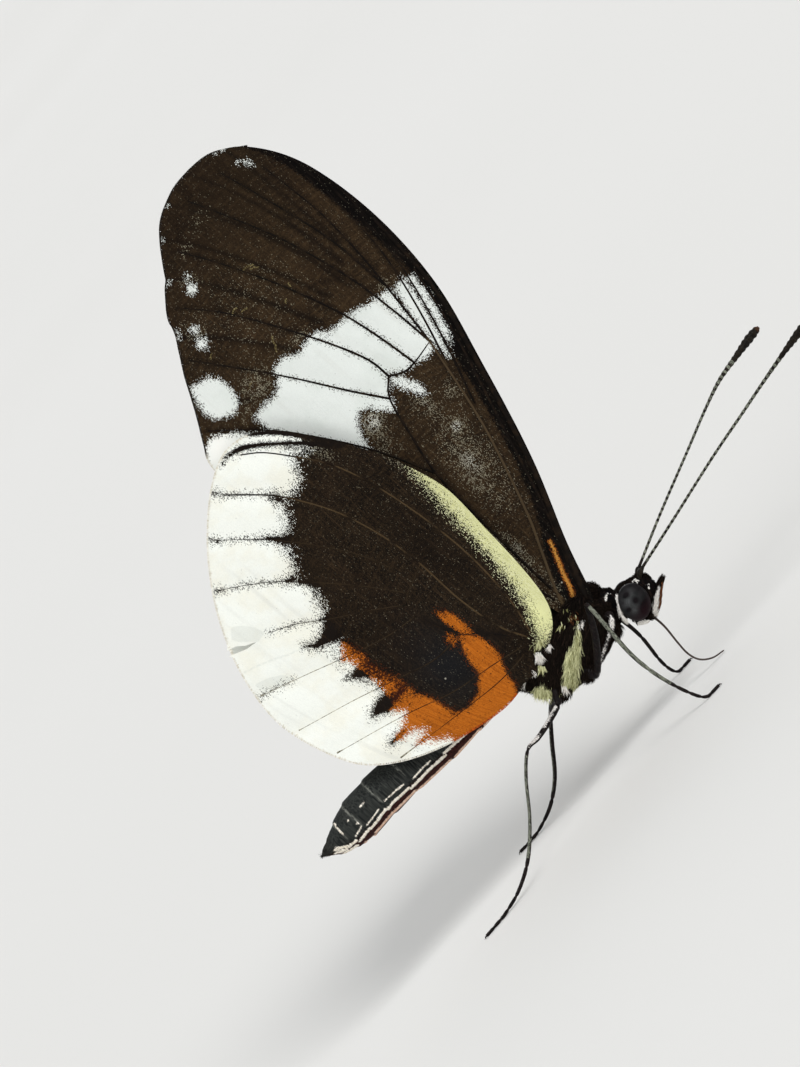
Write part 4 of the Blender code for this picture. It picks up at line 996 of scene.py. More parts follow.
def wing_middle(kind, flat):
    """How far a wing's middle lies from the mid plane, bowed a little between the veins that hold it in."""
    ahead, up = flat.T
    if kind == "forewing":
        layer = 0.65 + 0.9 * (1 - rise(10.5, 16.0, up)) + 0.3 * rise(36.0, 51.0, up)
    else:
        # The hindwing lies outside the forewing, cups the abdomen, dips to its root and bows out behind.
        from_root = np.hypot(ahead - 16.9, up - 10.2)
        dip = 0.62 * np.exp(-(from_root / 1.5) ** 2)
        layer = 1.5 + 0.65 * (1 - rise(12.5, 21.0, up)) - dip + 0.35 * rise(9.0, 24.0, from_root)
    ripple = 0.03 * np.sin(ahead * 1.7 + up * 0.9) * np.sin(up * 0.55)
    return layer + (0.1 * rise(0.0, 1.3, vein_distance(kind, flat)) - 0.05 + ripple)


def scratch_line(ahead, up, length, turn):
    """A short line with a slight bow about its middle."""
    reach = np.array([math.cos(math.radians(turn)), math.sin(math.radians(turn))]) * length / 2
    bow = np.array([-reach[1], reach[0]]) * 0.3
    middle = np.array([ahead, up])
    return middle - reach, middle + bow, middle + reach


def wing_fields(kind, flat):
    """The depth of each coloured field at points of a wing seen from the side."""
    fields = {name: even(flat, NOWHERE) for name in ("yellow", "teeth", "black", "scratch", "fold")}
    fields |= {name: even(flat, 0.0) for name in ("specks", "blue")}
    fields |= {name: cloud_share(flat, clouds) for name, clouds in WING_CLOUDS[kind].items()}
    if kind == "forewing":
        rays = nearest(flat, [smooth_line(ray, 0.8) for ray in FOREWING_RAYS])
        streak = line_distance(flat, FOREWING_STREAK)
        return fields | {
            "white": np.maximum(deepest(flat, FOREWING_PANES), spot_depth(flat, FOREWING_FLECKS)),
            "orange": 0.15 - streak,
            "shadow": 0.3 * rise(0.06, 0.16, streak),
            "black": patch_depth(flat, FOREWING_BLACK),
            "ray": np.maximum(np.exp(-(rays / 0.22) ** 2), 0.6 * rise(42.0, 49.0, flat[:, 1])),
            "scratch": 0.03 - nearest(flat, [scratch_line(*scratch) for scratch in FOREWING_SCRATCHES]),
            # Gold in the streak's middle, and painted light where the hindwing shades the forewing.
            "lighter_tone_and_painted_light": np.maximum(fields["lighter_tone_and_painted_light"], 0.8 * (1 - rise(0.0, 0.2, streak))),
        }
    edge = 2.0 * (np.interp(flat[:, 0], *DARK_EDGE_WIDTHS)
                  - line_distance(flat, smooth_line(HINDWING_DARK_EDGE, 0.3)))
    front = 2.0 * (0.1 - line_distance(flat, HINDWING_FRONT_LINE))
    teeth = deepest(flat, HINDWING_TEETH) - 0.06
    return fields | {
        "white": np.maximum(patch_depth(flat, HINDWING_WHITE), 4.0 * patch_depth(flat, HINDWING_FRONT)),
        "orange": deepest(flat, HINDWING_ORANGE),
        "yellow": patch_depth(flat, HINDWING_YELLOW) - 0.05 - 0.45 * rise(20.0, 25.5, flat[:, 1]),
        "teeth": np.maximum.reduce([teeth, strokes(flat, HINDWING_DARK_VEINS), edge, front]),
        # The margin's folds and crease, where shade is painted.
        "fold": np.maximum(deepest(flat, HINDWING_FOLD_SHADE), 0.06 - line_distance(flat, HINDWING_CREASE_SHADE)),
    }


def scale_lie(flat, root):
    """Across and along the scale rows, which lie round the wing's root."""
    reach = flat - np.array(root)
    along = np.hypot(reach[:, 0], reach[:, 1])
    turn = np.arctan2(reach[:, 0], reach[:, 1])
    return np.stack([turn * along, along, np.zeros(len(flat))], 1)


def flat_sheet(kind, tear=()):
    """A wing laid flat: its outline in small squares, smaller at the edges of markings, with two sides."""
    margin = smooth_line(WINGS[kind].outline, 0.4, closed=True)
    if tear:
        places = range(len(margin))
        near = [min(places, key=lambda i: math.dist(margin[i], end)) for end in (tear[0], tear[-1])]
        margin = margin[:min(near)] + list(tear) + margin[max(near) + 1:]
    bm = bmesh.new()
    bm.faces.new([bm.verts.new((ahead, 0.0, up)) for ahead, up in margin])
    for axis in (0, 2):
        values = [point[axis // 2] for point in margin]
        normal = Vector((axis == 0, 0, axis == 2))
        for step in range(1, int((max(values) - min(values)) / WING_STEP)):
            at = normal * (min(values) + step * WING_STEP)
            geom = bm.verts[:] + bm.edges[:] + bm.faces[:]
            bmesh.ops.bisect_plane(bm, geom=geom, plane_co=at, plane_no=normal, dist=0.002)
    fields = wing_fields(kind, np.array([(vert.co.x, vert.co.z) for vert in bm.verts]))
    near = (np.abs(fields["white"]) < 0.2) | (np.abs(fields["teeth"]) < 0.36)
    near |= (fields["scratch"] > -0.2) | (np.abs(fields["orange"]) < 0.2)
    bm.verts.index_update()
    edges = [edge for edge in bm.edges if all(near[vert.index] for vert in edge.verts)]
    bmesh.ops.subdivide_edges(bm, edges=edges, cuts=1, use_grid_fill=True)
    bmesh.ops.extrude_face_region(bm, geom=bm.faces[:])
    return written(bm)


def wing(kind, suffix, side, sheet):
    """A wing's membrane, bent to its place, and its veins."""
    shape = WINGS[kind]
    lift = Matrix.Translation((0.0, 0.0, WING_LIFTS[f"{kind}_{suffix}"]))
    mesh = sheet.copy()
    points = vertex_vectors(mesh)
    flat = points[:, [0, 2]]
    margin = line_distance(flat, smooth_line(shape.outline, 0.4, closed=True), closed=True)
    thickness = RIM + (MEMBRANE - RIM) * rise(0.0, 0.8, margin)
    # The inner face's vertices were there before the outer face was drawn out of it.
    face = np.where(np.arange(len(flat)) < len(flat) // 2, -1.0, 1.0)
    points[:, 1] = side * (wing_middle(kind, flat) + face * thickness / 2)
    mesh.vertices.foreach_set("co", points.astype(np.float32).ravel())
    mesh.update()
    written(opened(mesh), mesh, outwards=True)
    mesh.shade_smooth()
    mesh.set_sharp_from_angle(angle=math.radians(55))
    set_values(mesh, lie=scale_lie(flat, shape.root), vein=vein_distance(kind, flat))
    set_values(mesh, **wing_fields(kind, flat))
    mesh.transform(lift)
    piece(f"membrane_{kind}_{suffix}", mesh, shape.finish, "wing_scales", f"{kind}_{suffix}")
    mesh = vein_mesh(kind, side)
    mesh.transform(lift)
    piece(f"veins_{kind}_{suffix}", mesh, VEIN_FINISH, "wing_scales")


def vein_mesh(kind, side):
    """Every vein as a ridge that stands a little out of both faces."""
    veins = WINGS[kind].veins
    main, other = WINGS[kind].vein_radii
    lines = []
    for name, vein in veins.items():
        flat = np.array(smooth_line(vein, 0.45))
        thick, thin = COSTA_RADII if name == "costa" else main if name in MAIN_VEINS else other
        lines.append([(p[0], side * y, p[1], thick + (thin - thick) * i / len(flat))
                      for i, (p, y) in enumerate(zip(flat, wing_middle(kind, flat)))])
    mesh = tube_mesh(lines, 6)
    flat = vertex_vectors(mesh)[:, [0, 2]]
    fields = wing_fields(kind, flat)
    # Gold-brown along the forewing's radius and the hindwing's dark veins is partly painted sheen on their
    # ridges.
    if kind == "forewing":
        golden = 1.6 * (1 - rise(0.05, 0.25, line_distance(flat, veins["radius"])))
        faded = even(flat, 0.0)
    else:
        golden = 1 - rise(-0.3, 0.1, fields["white"])
        golden *= rise(0.1, 0.3, line_distance(flat, veins["cell_floor"]))
        golden *= 1 - 0.65 * rise(0.1, 0.3, nearest(flat, (veins["subcosta"], veins["radius"])))
        faded = 1 - rise(21.5, 25.0, flat[:, 1])
    set_values(mesh, white=fields["white"], orange=fields["orange"], faded=faded, golden=golden)
    return mesh


def build_wings():
    fore = flat_sheet("forewing")
    for suffix, side in SIDES:
        hind = flat_sheet("hindwing", HINDWING_TEAR if suffix == "right" else ())
        wing("forewing", suffix, side, fore)
        wing("hindwing", suffix, side, hind)


# Tufts.
SEEDS = iter(range(11, 400))


def tufts(roots, normals, lies, lengths, widths, rises, curls):
    """Points and faces of thin closed tapering blades, each with one bend and a point."""
    along = lies - normals * np.sum(lies * normals, 1)[:, None]
    along /= np.maximum(np.linalg.norm(along, axis=1), 1e-9)[:, None]
    across = np.cross(normals, along)
    rings = []
    for s, wide in ((0.0, 0.8), (0.5, 1.0)):
        height = rises * s * (1 - 0.55 * s) * lengths
        centre = (roots + along * (s * lengths)[:, None] + normals * height[:, None]
                  + across * (curls * s * s * lengths)[:, None])
        for a, b in ((-0.5, 0.0), (0.5, 0.0), (0.0, 0.3)):
            corner = across * (a * wide * widths)[:, None]
            rings.append(centre + corner + normals * (b * wide * widths)[:, None])
    tip = roots + along * lengths[:, None] + normals * (rises * 0.45 * lengths)[:, None]
    rings.append(tip + across * (curls * lengths)[:, None])
    pattern = [(2, 1, 0), (0, 1, 4, 3), (1, 2, 5, 4), (2, 0, 3, 5), (3, 4, 6), (4, 5, 6), (5, 3, 6)]
    return np.stack(rings, 1), pattern


def coat(name, roots, normals, shape, uvs, values, sink=0.02, curl=0.15,
         finish=COAT_FINISH, slot="body_hair"):
    """One piece of many tufts, whose shape is their lies, lengths, widths and rises.

    uvs says where each tuft's small patch lies on the bake map.
    """
    rng = np.random.default_rng(next(SEEDS))
    count = len(roots)
    points, pattern = tufts(roots - normals * sink, normals, *shape, rng.normal(0.0, curl, count))
    per = points.shape[1]
    points[:, :, 2] = np.maximum(points[:, :, 2], FLOOR_LEVEL)
    faces = [tuple(i * per + k for k in face) for i in range(count) for face in pattern]
    mesh = bpy.data.meshes.new(name)
    mesh.from_pydata(points.reshape(-1, 3).tolist(), [], faces)
    owner = np.repeat(np.arange(count), per)
    place = np.tile(np.array([0.0] * 3 + [0.5] * 3 + [1.0]), count)
    spread = np.tile(np.array([-0.5, 0.5, 0.0] * 2 + [0.0]), count)
    uv = uvs[owner] + 0.003 * np.stack([spread, place - 0.5], 1)
    corners = np.zeros(len(mesh.loops), np.int32)
    mesh.loops.foreach_get("vertex_index", corners)
    layer = mesh.uv_layers.new(name="OFBake")
    layer.data.foreach_set("uv", uv[corners].astype(np.float32).ravel())
    set_values(mesh, pick=rng.random(count)[owner], tip=place, **{k: v[owner] for k, v in values.items()})
    piece(name, mesh, finish, slot)


def scatter(mesh, count, weigh, seed):
    """Random places on a mesh, with the surface's direction there. weigh gives how dense each place is."""
    rng = np.random.default_rng(seed)
    mesh.calc_loop_triangles()
    corners = np.zeros(len(mesh.loop_triangles) * 3, np.int32)
    mesh.loop_triangles.foreach_get("vertices", corners)
    corners = corners.reshape(-1, 3)
    points = vertex_vectors(mesh)
    directions = vertex_vectors(mesh, "normal")
    a, b, c = (points[corners[:, k]] for k in range(3))
    areas = np.linalg.norm(np.cross(b - a, c - a), axis=1) / 2
    weights = areas * weigh((a + b + c) / 3)
    picked = rng.choice(len(corners), count, p=weights / weights.sum())
    u, v = rng.random(count), rng.random(count)
    flip = u + v > 1
    u, v = np.where(flip, 1 - u, u), np.where(flip, 1 - v, v)
    shares = np.stack([1 - u - v, u, v], 1)
    place, normal = (sum(vectors[corners[picked, k]] * shares[:, k, None] for k in range(3))
                     for vectors in (points, directions))
    return place, normal / np.linalg.norm(normal, axis=1)[:, None], rng


# Body.


def seen_from_side(points):
    """Where points look to lie (ahead, up) in the photograph, which looks down on them a little."""
    ahead, out, up = points.T
    sink = np.abs(out) * math.sin(LOOK_DOWN) + (up - LOOK_HEIGHT) * (1 - math.cos(LOOK_DOWN))
    return np.stack([ahead, up - sink], 1)


def joint_distance(points):
    """How far points lie from the nearest joint of the abdomen."""
    return np.min(np.abs(points[:, :1] - np.array(ABDOMEN_JOINTS) + 0.06), 1)


def body_fields(points):
    """How deep points of the body lie in each of its markings, seen from the side."""
    ahead, out, height = points.T
    flat = points[:, [0, 2]]
    seen = seen_from_side(points)
    # Marks of hair have uneven edges.
    wobble = 0.04 * np.sin(13 * seen[:, 0] + 3) * np.sin(17 * seen[:, 1])
    behind = 1 - rise(12.0, 14.5, ahead)
    above = height - np.interp(ahead, *ABDOMEN_MIDDLE)
    ridge = np.interp(height, *EYE_RIDGE_WIDTHS) - line_distance(flat, EYE_RIDGE_LINE)
    cheek = 0.17 - line_distance(seen, CHEEK_LINE)
    white = np.maximum.reduce([strokes(seen, BODY_MARKS, wobble), 2.0 * cheek, 1.5 * ridge])
    return {
        "slate": behind * rise(0.0, 0.3, above),
        "maroon": behind * (1 - rise(-0.1, 0.2, above)),
        "palp": even(points, OUTSIDE),
        # Painted sheen at the raised hind edges of the rings on the back.
        "rim": behind * rise(0.0, 0.5, height - 11.6) * np.exp(-(joint_distance(points) / 0.07) ** 2),
        "cream": np.maximum(0.1 - nearest(flat, ABDOMEN_CREAM), 0.055 - nearest(flat, ABDOMEN_DASHES)),
        "rust": 0.1 - nearest(flat, ABDOMEN_UNDERLINE),
        "white": np.where(np.abs(out) > 0.45, white, OUTSIDE),
        "stripe": deepest(seen, (THORAX_STRIPE, THORAX_TUFT)) + wobble,
    }


def plain_values(points, **known):
    """Fields of tufts that carry no marking but the named ones."""
    values = {key: even(points, OUTSIDE) for key in ("cream", "rust", "white", "stripe", "palp")}
    return values | {key: even(points, 0.0) for key in ("slate", "maroon", "rim")} | known


def loft_into(bm, sections):
    """A closed body through upright ellipses."""
    loops = []
    turn = Matrix.Rotation(math.radians(90), 4, "Y")
    for ahead, height, half_height, half_width in sections:
        size = Matrix.Diagonal((half_height, half_width, 1.0, 1.0))
        matrix = Matrix.Translation((ahead, 0.0, height)) @ turn @ size
        ring = bmesh.ops.create_circle(bm, segments=40, radius=1.0, matrix=matrix)
        loops.append(list({edge for vert in ring["verts"] for edge in vert.link_edges}))
    faces = []
    for first, second in zip(loops, loops[1:]):
        faces += bmesh.ops.bridge_loops(bm, edges=first + second)["faces"]
    for loop in (loops[0], loops[-1]):
        faces += bmesh.ops.contextual_create(bm, geom=loop)["faces"]
    bmesh.ops.recalc_face_normals(bm, faces=faces)


def abdomen_rings():
    """Each ring of the abdomen ends in a low step over the next."""
    sections = [(-3.45, 12.2, 0.08, 0.08), (-3.0, 12.12, 0.4, 0.4)]
    for back, front in zip(ABDOMEN_SEGMENTS, ABDOMEN_SEGMENTS[1:]):
        for share, swell in ((0.0, 0.0), (0.05, 0.05), (0.5, 0.02), (0.93, -0.05), (0.99, -0.07)):
            ring = [b + (f - b) * share for b, f in zip(back, front)]
            sections.append((ring[0], ring[1], ring[2] - 0.04 + swell, ring[3] - 0.04 + swell))
    return sections


def lobe_place(centre, radii, side, lean=0.0):
    """The matrix of a lobe, its top leaning ahead by an angle."""
    ahead, out, up = centre
    turn = Matrix.Rotation(lean, 4, "Y")
    return Matrix.Translation((ahead, side * out, up)) @ turn @ Matrix.Diagonal((*radii, 1.0))


def sided(points, side):
    return [(p[0], side * p[1], *p[2:]) for p in points]


def skin_mesh():
    """Head, thorax and abdomen as one skin."""
    bm = bmesh.new()
    loft_into(bm, abdomen_rings())
    loft_into(bm, smooth_line(THORAX_SECTIONS, 0.35))
    loft_into(bm, smooth_line(HEAD_SECTIONS, 0.35))
    for _, side in SIDES:
        lobes = [lobe_place(*lobe, side) for lobe in BODY_LOBES]
        for matrix in lobes + [lobe_place(*EYE_SOCKET, side, EYE_LEAN)]:
            bmesh.ops.create_uvsphere(bm, u_segments=20, v_segments=12, radius=1.0, matrix=matrix)
        for ridge in (EYE_RIDGE, CHEEK_RIDGE):
            bm.from_mesh(tube_mesh([smooth_line(sided(ridge, side), 0.15)], 10))
    holder = new_object("form", written(bm))
    change = holder.modifiers.new("one_skin", "REMESH")
    change.mode = "VOXEL"
    change.voxel_size = SKIN_STEP
    mesh = evaluated_mesh(holder)
    bm = opened(mesh)
    for _ in range(2):
        axes = {"use_axis_x": True, "use_axis_y": True, "use_axis_z": True}
        bmesh.ops.smooth_vert(bm, verts=bm.verts, factor=0.5, **axes)
    # The lines along the abdomen are low folds.
    points = np.array([tuple(v.co) for v in bm.verts])
    fields = body_fields(points)
    fold = 0.05 * rise(-0.05, 0.1, np.maximum(fields["cream"], fields["rust"])) * (points[:, 0] < 14)
    bm.normal_update()
    for vert, shift in zip(list(bm.verts), fold):
        vert.co += vert.normal * float(shift)
    written(bm, mesh)
    mesh.shade_smooth()
    return mesh


def body_unwrap(points, low, high):
    """Round the body and along it, for the bake map."""
    turn = np.arctan2(points[:, 1], points[:, 2] - 9.6)
    return np.stack([0.5 + turn / (2 * math.pi) * 0.96, 0.02 + 0.96 * (points[:, 0] - low) / (high - low)], 1)


def build_body():
    mesh = skin_mesh()
    set_values(mesh, **body_fields(vertex_vectors(mesh)))
    for suffix, side in SIDES:
        thorax_coat(mesh, suffix, side)
    head_coat(mesh)
    abdomen_coat(mesh)
    piece("body_skin", mesh, SKIN_FINISH, "body_hair", "thorax", "head", "abdomen")


def thorax_coat(mesh, suffix, side):
    """Fine hair lies back and down over the thorax, thickest in the pale stripe."""
    def weigh(points):
        stripe = rise(-0.1, 0.1, body_fields(points)["stripe"])
        near_side = rise(-0.25, 0.0, points[:, 1] * side)
        return ((points[:, 0] > 13.9) & (points[:, 0] < 22.6)) * near_side * (1.0 + 1.5 * stripe)

    roots, normals, rng = scatter(mesh, THORAX_HAIRS, weigh, 3 + side)
    values = body_fields(roots)
    count = len(roots)
    stripe = rise(-0.1, 0.1, values["stripe"])
    lies = np.array([-0.82, 0.0, -0.57]) + rng.normal(0, 0.12, (count, 3))
    lies[:, 2] += 0.45 * rise(11.0, 12.3, roots[:, 2])
    lengths = (0.55 + 0.3 * stripe) * rng.uniform(0.6, 1.4, count)
    lengths *= 1 - 0.35 * rise(21.2, 22.6, roots[:, 0])
    lengths *= 1 - 0.5 * rise(-0.3, -0.05, values["white"])
    widths = rng.uniform(0.03, 0.055, count)
    rises = 0.3 + 0.3 * rng.random(count)
    coat(f"coat_thorax_{suffix}", roots, normals, (lies, lengths, widths, rises),
         body_unwrap(roots, 13.5, 23.0), values, sink=0.03)


def head_coat(mesh):
    """Short upright hair on the head and the collar behind it, and flat white scales in the face marks."""
    def to_eye(points):
        ahead, up = points[:, 0] - EYE_CENTRE[0], points[:, 2] - EYE_CENTRE[2]
        across = ahead * math.cos(EYE_LEAN) - up * math.sin(EYE_LEAN)
        along = ahead * math.sin(EYE_LEAN) + up * math.cos(EYE_LEAN)
        return np.hypot(across / EYE_RADII[0], along / EYE_RADII[2])

    def weigh(points):
        hidden = (np.abs(points[:, 1]) > 0.95) & (to_eye(points) < 1.0)
        depth = body_fields(points)["white"]
        beside = (depth > -0.4) & (depth < -0.02)
        return (points[:, 0] > 22.2) * ~hidden * (1.0 - 0.8 * beside + 2.5 * rise(-0.05, 0.05, depth))

    roots, normals, rng = scatter(mesh, HEAD_HAIRS, weigh, 5)
    values = body_fields(roots)
    count = len(roots)
    white = rise(-0.03, 0.03, values["white"])
    lies = np.array([0.2, 0.0, 0.5]) + rng.normal(0, 0.2, (count, 3))
    low = roots[:, 2] < 8.0
    lies[low] = np.array([-0.3, 0.0, -0.6]) + rng.normal(0, 0.2, (int(low.sum()), 3))
    collar = 1 - rise(22.9, 23.3, roots[:, 0])
    lies[:, 0] -= 0.7 * collar
    # Dark hair stays short beside the white marks, so that it does not hide them.
    beside = rise(-0.5, -0.1, values["white"])
    lengths = (0.24 + 0.22 * collar) * rng.uniform(0.6, 1.3, count) * (1 - 0.65 * beside)
    lengths *= 1 - 0.4 * (1 - rise(1.0, 1.2, to_eye(roots))) * (np.abs(roots[:, 1]) > 0.8)
    widths = rng.uniform(0.028, 0.045, count) * (1 + 0.5 * white)
    rises = (0.7 + 0.35 * rng.random(count)) * (1 - 0.75 * beside)
    coat("coat_head", roots, normals, (lies, lengths, widths, rises), body_unwrap(roots, 21.8, 26.6), values)


def abdomen_coat(mesh):
    """Flat scales, standing a little proud at the hind edge of each ring and as a brush at the tip."""
    def weigh(points):
        fields = body_fields(points)
        near = np.exp(-(joint_distance(points) / 0.3) ** 2)
        lines = rise(-0.05, 0.03, np.maximum(fields["cream"], fields["rust"]))
        tip = 1 - rise(-3.0, -1.8, points[:, 0])
        return (points[:, 0] < 14.0) * (0.5 + 0.6 * near + 2.0 * lines + 1.5 * tip)

    roots, normals, rng = scatter(mesh, ABDOMEN_SCALES, weigh, 7)
    count = len(roots)
    tip = 1 - rise(-3.0, -1.9, roots[:, 0])
    lies = np.array([-1.0, 0.0, -0.05]) + rng.normal(0, 0.08, (count, 3))
    lengths = (0.12 + 0.33 * tip) * rng.uniform(0.7, 1.3, count)
    widths = rng.uniform(0.045, 0.07, count)
    rises = 0.08 + 0.1 * rng.random(count) + 0.25 * tip
    coat("coat_abdomen", roots, normals, (lies, lengths, widths, rises), body_unwrap(roots, -3.8, 14.5),
         body_fields(roots), curl=0.06)


# Limbs.


def along_line(points, line):
    """For points near a line: the share of its length, its middle there and its direction there."""
    line = np.array(line, float)[:, :3]
    spans = np.linalg.norm(np.diff(line, axis=0), axis=1)
    before = np.concatenate([[0], np.cumsum(spans)])
    best = np.full(len(points), 1e9)
    share, middle, ahead = np.zeros(len(points)), np.zeros((len(points), 3)), np.zeros((len(points), 3))
    for i, (start, end) in enumerate(zip(line, line[1:])):
        along = end - start
        t = np.clip((points - start) @ along / max(along @ along, 1e-12), 0, 1)
        at = start + t[:, None] * along
        gap = np.linalg.norm(points - at, axis=1)
        nearer = gap < best
        best[nearer] = gap[nearer]
        share[nearer] = (before[i] + t[nearer] * spans[i]) / before[-1]
        middle[nearer] = at[nearer]
        ahead[nearer] = along / max(np.linalg.norm(along), 1e-9)
    return share, middle, ahead


def jointed(line, joints):
    """Draws the line's radius in at each joint, given as shares of its length."""
    points = np.array(line)
    steps = np.linalg.norm(np.diff(points[:, :3], axis=0), axis=1)
    share = np.concatenate([[0], np.cumsum(steps)]) / steps.sum()
    for joint in joints:
        points[:, 3] *= 1 - JOINT_PINCH * np.exp(-((share - joint) * steps.sum() / 0.1) ** 2)
    return [tuple(p) for p in points]


def bristles(name, mesh, line, count, length, width, rise_by, seed, values_of, low=0.0):
    """Fine bristles along a limb, pointing to its end."""
    roots, normals, rng = scatter(mesh, count, lambda points: (along_line(points, line)[0] > low) * 1.0, seed)
    share, _, ahead = along_line(roots, line)
    lies = ahead + rng.normal(0, 0.1, (count, 3))
    uvs = np.stack([0.5 + 0.48 * np.cos(np.arctan2(normals[:, 1], normals[:, 2])), 0.02 + 0.96 * share], 1)
    lengths = length * rng.uniform(0.6, 1.3, count)
    widths = width * rng.uniform(0.8, 1.2, count)
    rises = rise_by * rng.uniform(0.7, 1.3, count)
    coat(name, roots, normals, (lies, lengths, widths, rises), uvs, values_of(roots), sink=0.01)


def leg(kind, suffix, side, points, seed):
    """A jointed leg with its bristles, and with spurs and claws if it is one to walk on."""
    walks = kind != "foreleg"
    spans = [math.dist(a[:3], b[:3]) for a, b in zip(points, points[1:])]
    hip, knee = (sum(spans[:k]) / sum(spans) for k in (2, 5))
    joints = (hip, knee, 0.72, 0.83, 0.88, 0.925, 0.96) if walks else (0.25, 0.6)
    line = jointed(smooth_line(sided(points, side), 0.12), joints)
    mesh = tube_mesh([line] + (claws(line) if walks else []), 10)
    where = vertex_vectors(mesh)
    share, middle, _ = along_line(where, line)
    up = (where - middle)[:, 2]
    out, middle_out = np.abs(where[:, 1]), np.abs(middle[:, 1])
    outward = (out - middle_out) * 0.4 + up
    grey = even(where, OUTSIDE)
    white = even(where, OUTSIDE)
    if walks:
        fade = 0.66 if kind == "hindleg" else 0.78
        shin = rise(knee + 0.01, knee + 0.03, share) * (1 - rise(fade, fade + 0.06, share))
        # The shins' upper sides are grey-green: partly their scales, partly painted sheen where they face up.
        grey = np.where(shin > 0.5, outward - 0.05, OUTSIDE)
    else:
        stripe = np.array(line)[:, [0, 2]] + np.array([0.0, 0.03])
        wide = np.interp(share, *FORELEG_STRIPE_WIDTHS)
        white = np.where(out > middle_out - 0.05, wide - line_distance(where[:, [0, 2]], stripe), OUTSIDE)
    if kind == "hindleg":
        # A white line on top of the thigh, partly pale scales and partly painted sheen, and a pale patch
        # before the knee.
        from_line = np.abs(share - (hip + 0.07)) - 0.06
        patch = 0.12 - np.abs(share - (knee - 0.042)) * 5
        white = np.maximum(np.where(from_line < 0, outward - 0.16, OUTSIDE),
                           np.where(up > -0.06, patch, OUTSIDE))
    set_values(mesh, white=white, grey=grey, rust=even(where, OUTSIDE))
    count, low = (700, 0.08) if walks else (300, 0.2)
    bristles(f"bristles_{kind}_{suffix}", mesh, line, count, 0.13, 0.018, 0.5, seed, plain_values, low)
    piece(f"shell_{kind}_{suffix}", mesh, LEG_FINISH, "shell", f"{kind}_{suffix}")


def claws(line):
    """Two hooked claws at the foot, and two spurs at the end of the shin."""
    end = Vector(line[-1][:3])
    ahead = (end - Vector(line[-4][:3])).normalized()
    at = int(len(line) * 0.7)
    root = Vector(line[at][:3])
    down = (Vector(line[at + 2][:3]) - root).normalized()
    hooks, spurs = [], []
    for spread in (-1, 1):
        out = Vector((-ahead.y, ahead.x, 0.0)) * spread
        tip = end + ahead * 0.2 + out * 0.1
        hooks.append([(*(end - ahead * 0.05 + out * 0.03), 0.045), (*(end + ahead * 0.1 + out * 0.09), 0.035),
                      (tip.x, tip.y, FLOOR_LEVEL + 0.03, 0.012)])
        out = Vector((0.0, 0.7 * spread, 0.0)) + Vector((0.3, 0.0, -0.2))
        spurs.append([(*root, 0.04), (*(root + down * 0.18 + out * 0.12), 0.028),
                      (*(root + down * 0.4 + out * 0.16), 0.008)])
    return hooks + spurs


def feeler(suffix, side, points):
    """A ringed feeler that swells to its club."""
    line = smooth_line(sided(points, side), 0.09)
    ringed = []
    for i, (ahead, out, up, radius) in enumerate(line):
        ring = 1 + 0.1 * math.cos(2 * math.pi * i / 5) if ahead > 26.6 else 1.0
        ringed.append((ahead, out, up, radius * ring))
    mesh = tube_mesh([ringed], 10)
    where = vertex_vectors(mesh)
    share = along_line(where, line[::4])[0]
    span = sum((Vector(b[:3]) - Vector(a[:3])).length for a, b in zip(line, line[1:]))
    rings = np.abs((share * span / 0.45) % 1.0 - 0.5)
    grey = np.where((share > 0.06) & (share < 0.86), 0.14 - rings * 0.6, OUTSIDE)
    set_values(mesh, white=even(where, OUTSIDE), grey=grey, rust=rise(0.98, 0.998, share) * 0.2 - 0.15)
    piece(f"feeler_{suffix}", mesh, FEELER_FINISH, "shell", f"antenna_{suffix}")


def palp_values(points):
    """White scales along a palp's side and rusty hair on its front."""
    seen = seen_from_side(points)
    wide = np.interp(seen[:, 0], *PALP_STRIPE_WIDTHS)
    white = np.where(np.abs(points[:, 1]) > 0.6, 2.0 * (wide - line_distance(seen, PALP_STRIPE)), OUTSIDE)
    front = seen[:, 0] * 0.5 - seen[:, 1] * 0.87
    rusty = np.where((seen[:, 0] > 24.6) & (seen[:, 0] < 26.2), front - 6.7, OUTSIDE)
    return plain_values(points, white=white, palp=rusty)


def palp(suffix, side, seed):
    """An upturned palp, hairy along its front and white along its side."""
    line = smooth_line(sided(PALP, side), 0.12)
    mesh = tube_mesh([line], 14)
    set_values(mesh, **palp_values(vertex_vectors(mesh)))
    bristles(f"coat_palp_{suffix}", mesh, line, 2600, 0.3, 0.032, 0.45, seed, palp_values)
    piece(f"skin_palp_{suffix}", mesh, SKIN_FINISH, "body_hair", f"palp_{suffix}")


def tongue():
    """The sucking tongue: two halves side by side, reaching down to the floor."""
    line = smooth_line(PROBOSCIS, 0.12)
    halves = [[(x, side * r * 0.55, z, r * 0.72) for x, y, z, r in line] for _, side in SIDES]
    piece("sucking_tongue", tube_mesh(halves, 10), TONGUE_FINISH, "tongue", "proboscis")


def eye(suffix, side):
    """A finely rounded eye set in the side of the head."""
    bm = bmesh.new()
    matrix = lobe_place(EYE_CENTRE, EYE_RADII, side, EYE_LEAN)
    bmesh.ops.create_icosphere(bm, subdivisions=6, radius=1.0, matrix=matrix)
    mesh = written(bm, outwards=True)
    mesh.shade_smooth()
    where = vertex_vectors(mesh)
    # The painted reflections and the maroon lower part.
    set_values(mesh, glow=cloud_share(where[:, [0, 2]], EYE_PAINTED_REFLECTIONS), below=1 - rise(7.0, 8.0, where[:, 2]))
    piece(f"faceted_eye_{suffix}", mesh, EYE_FINISH, "eye", f"eye_{suffix}")


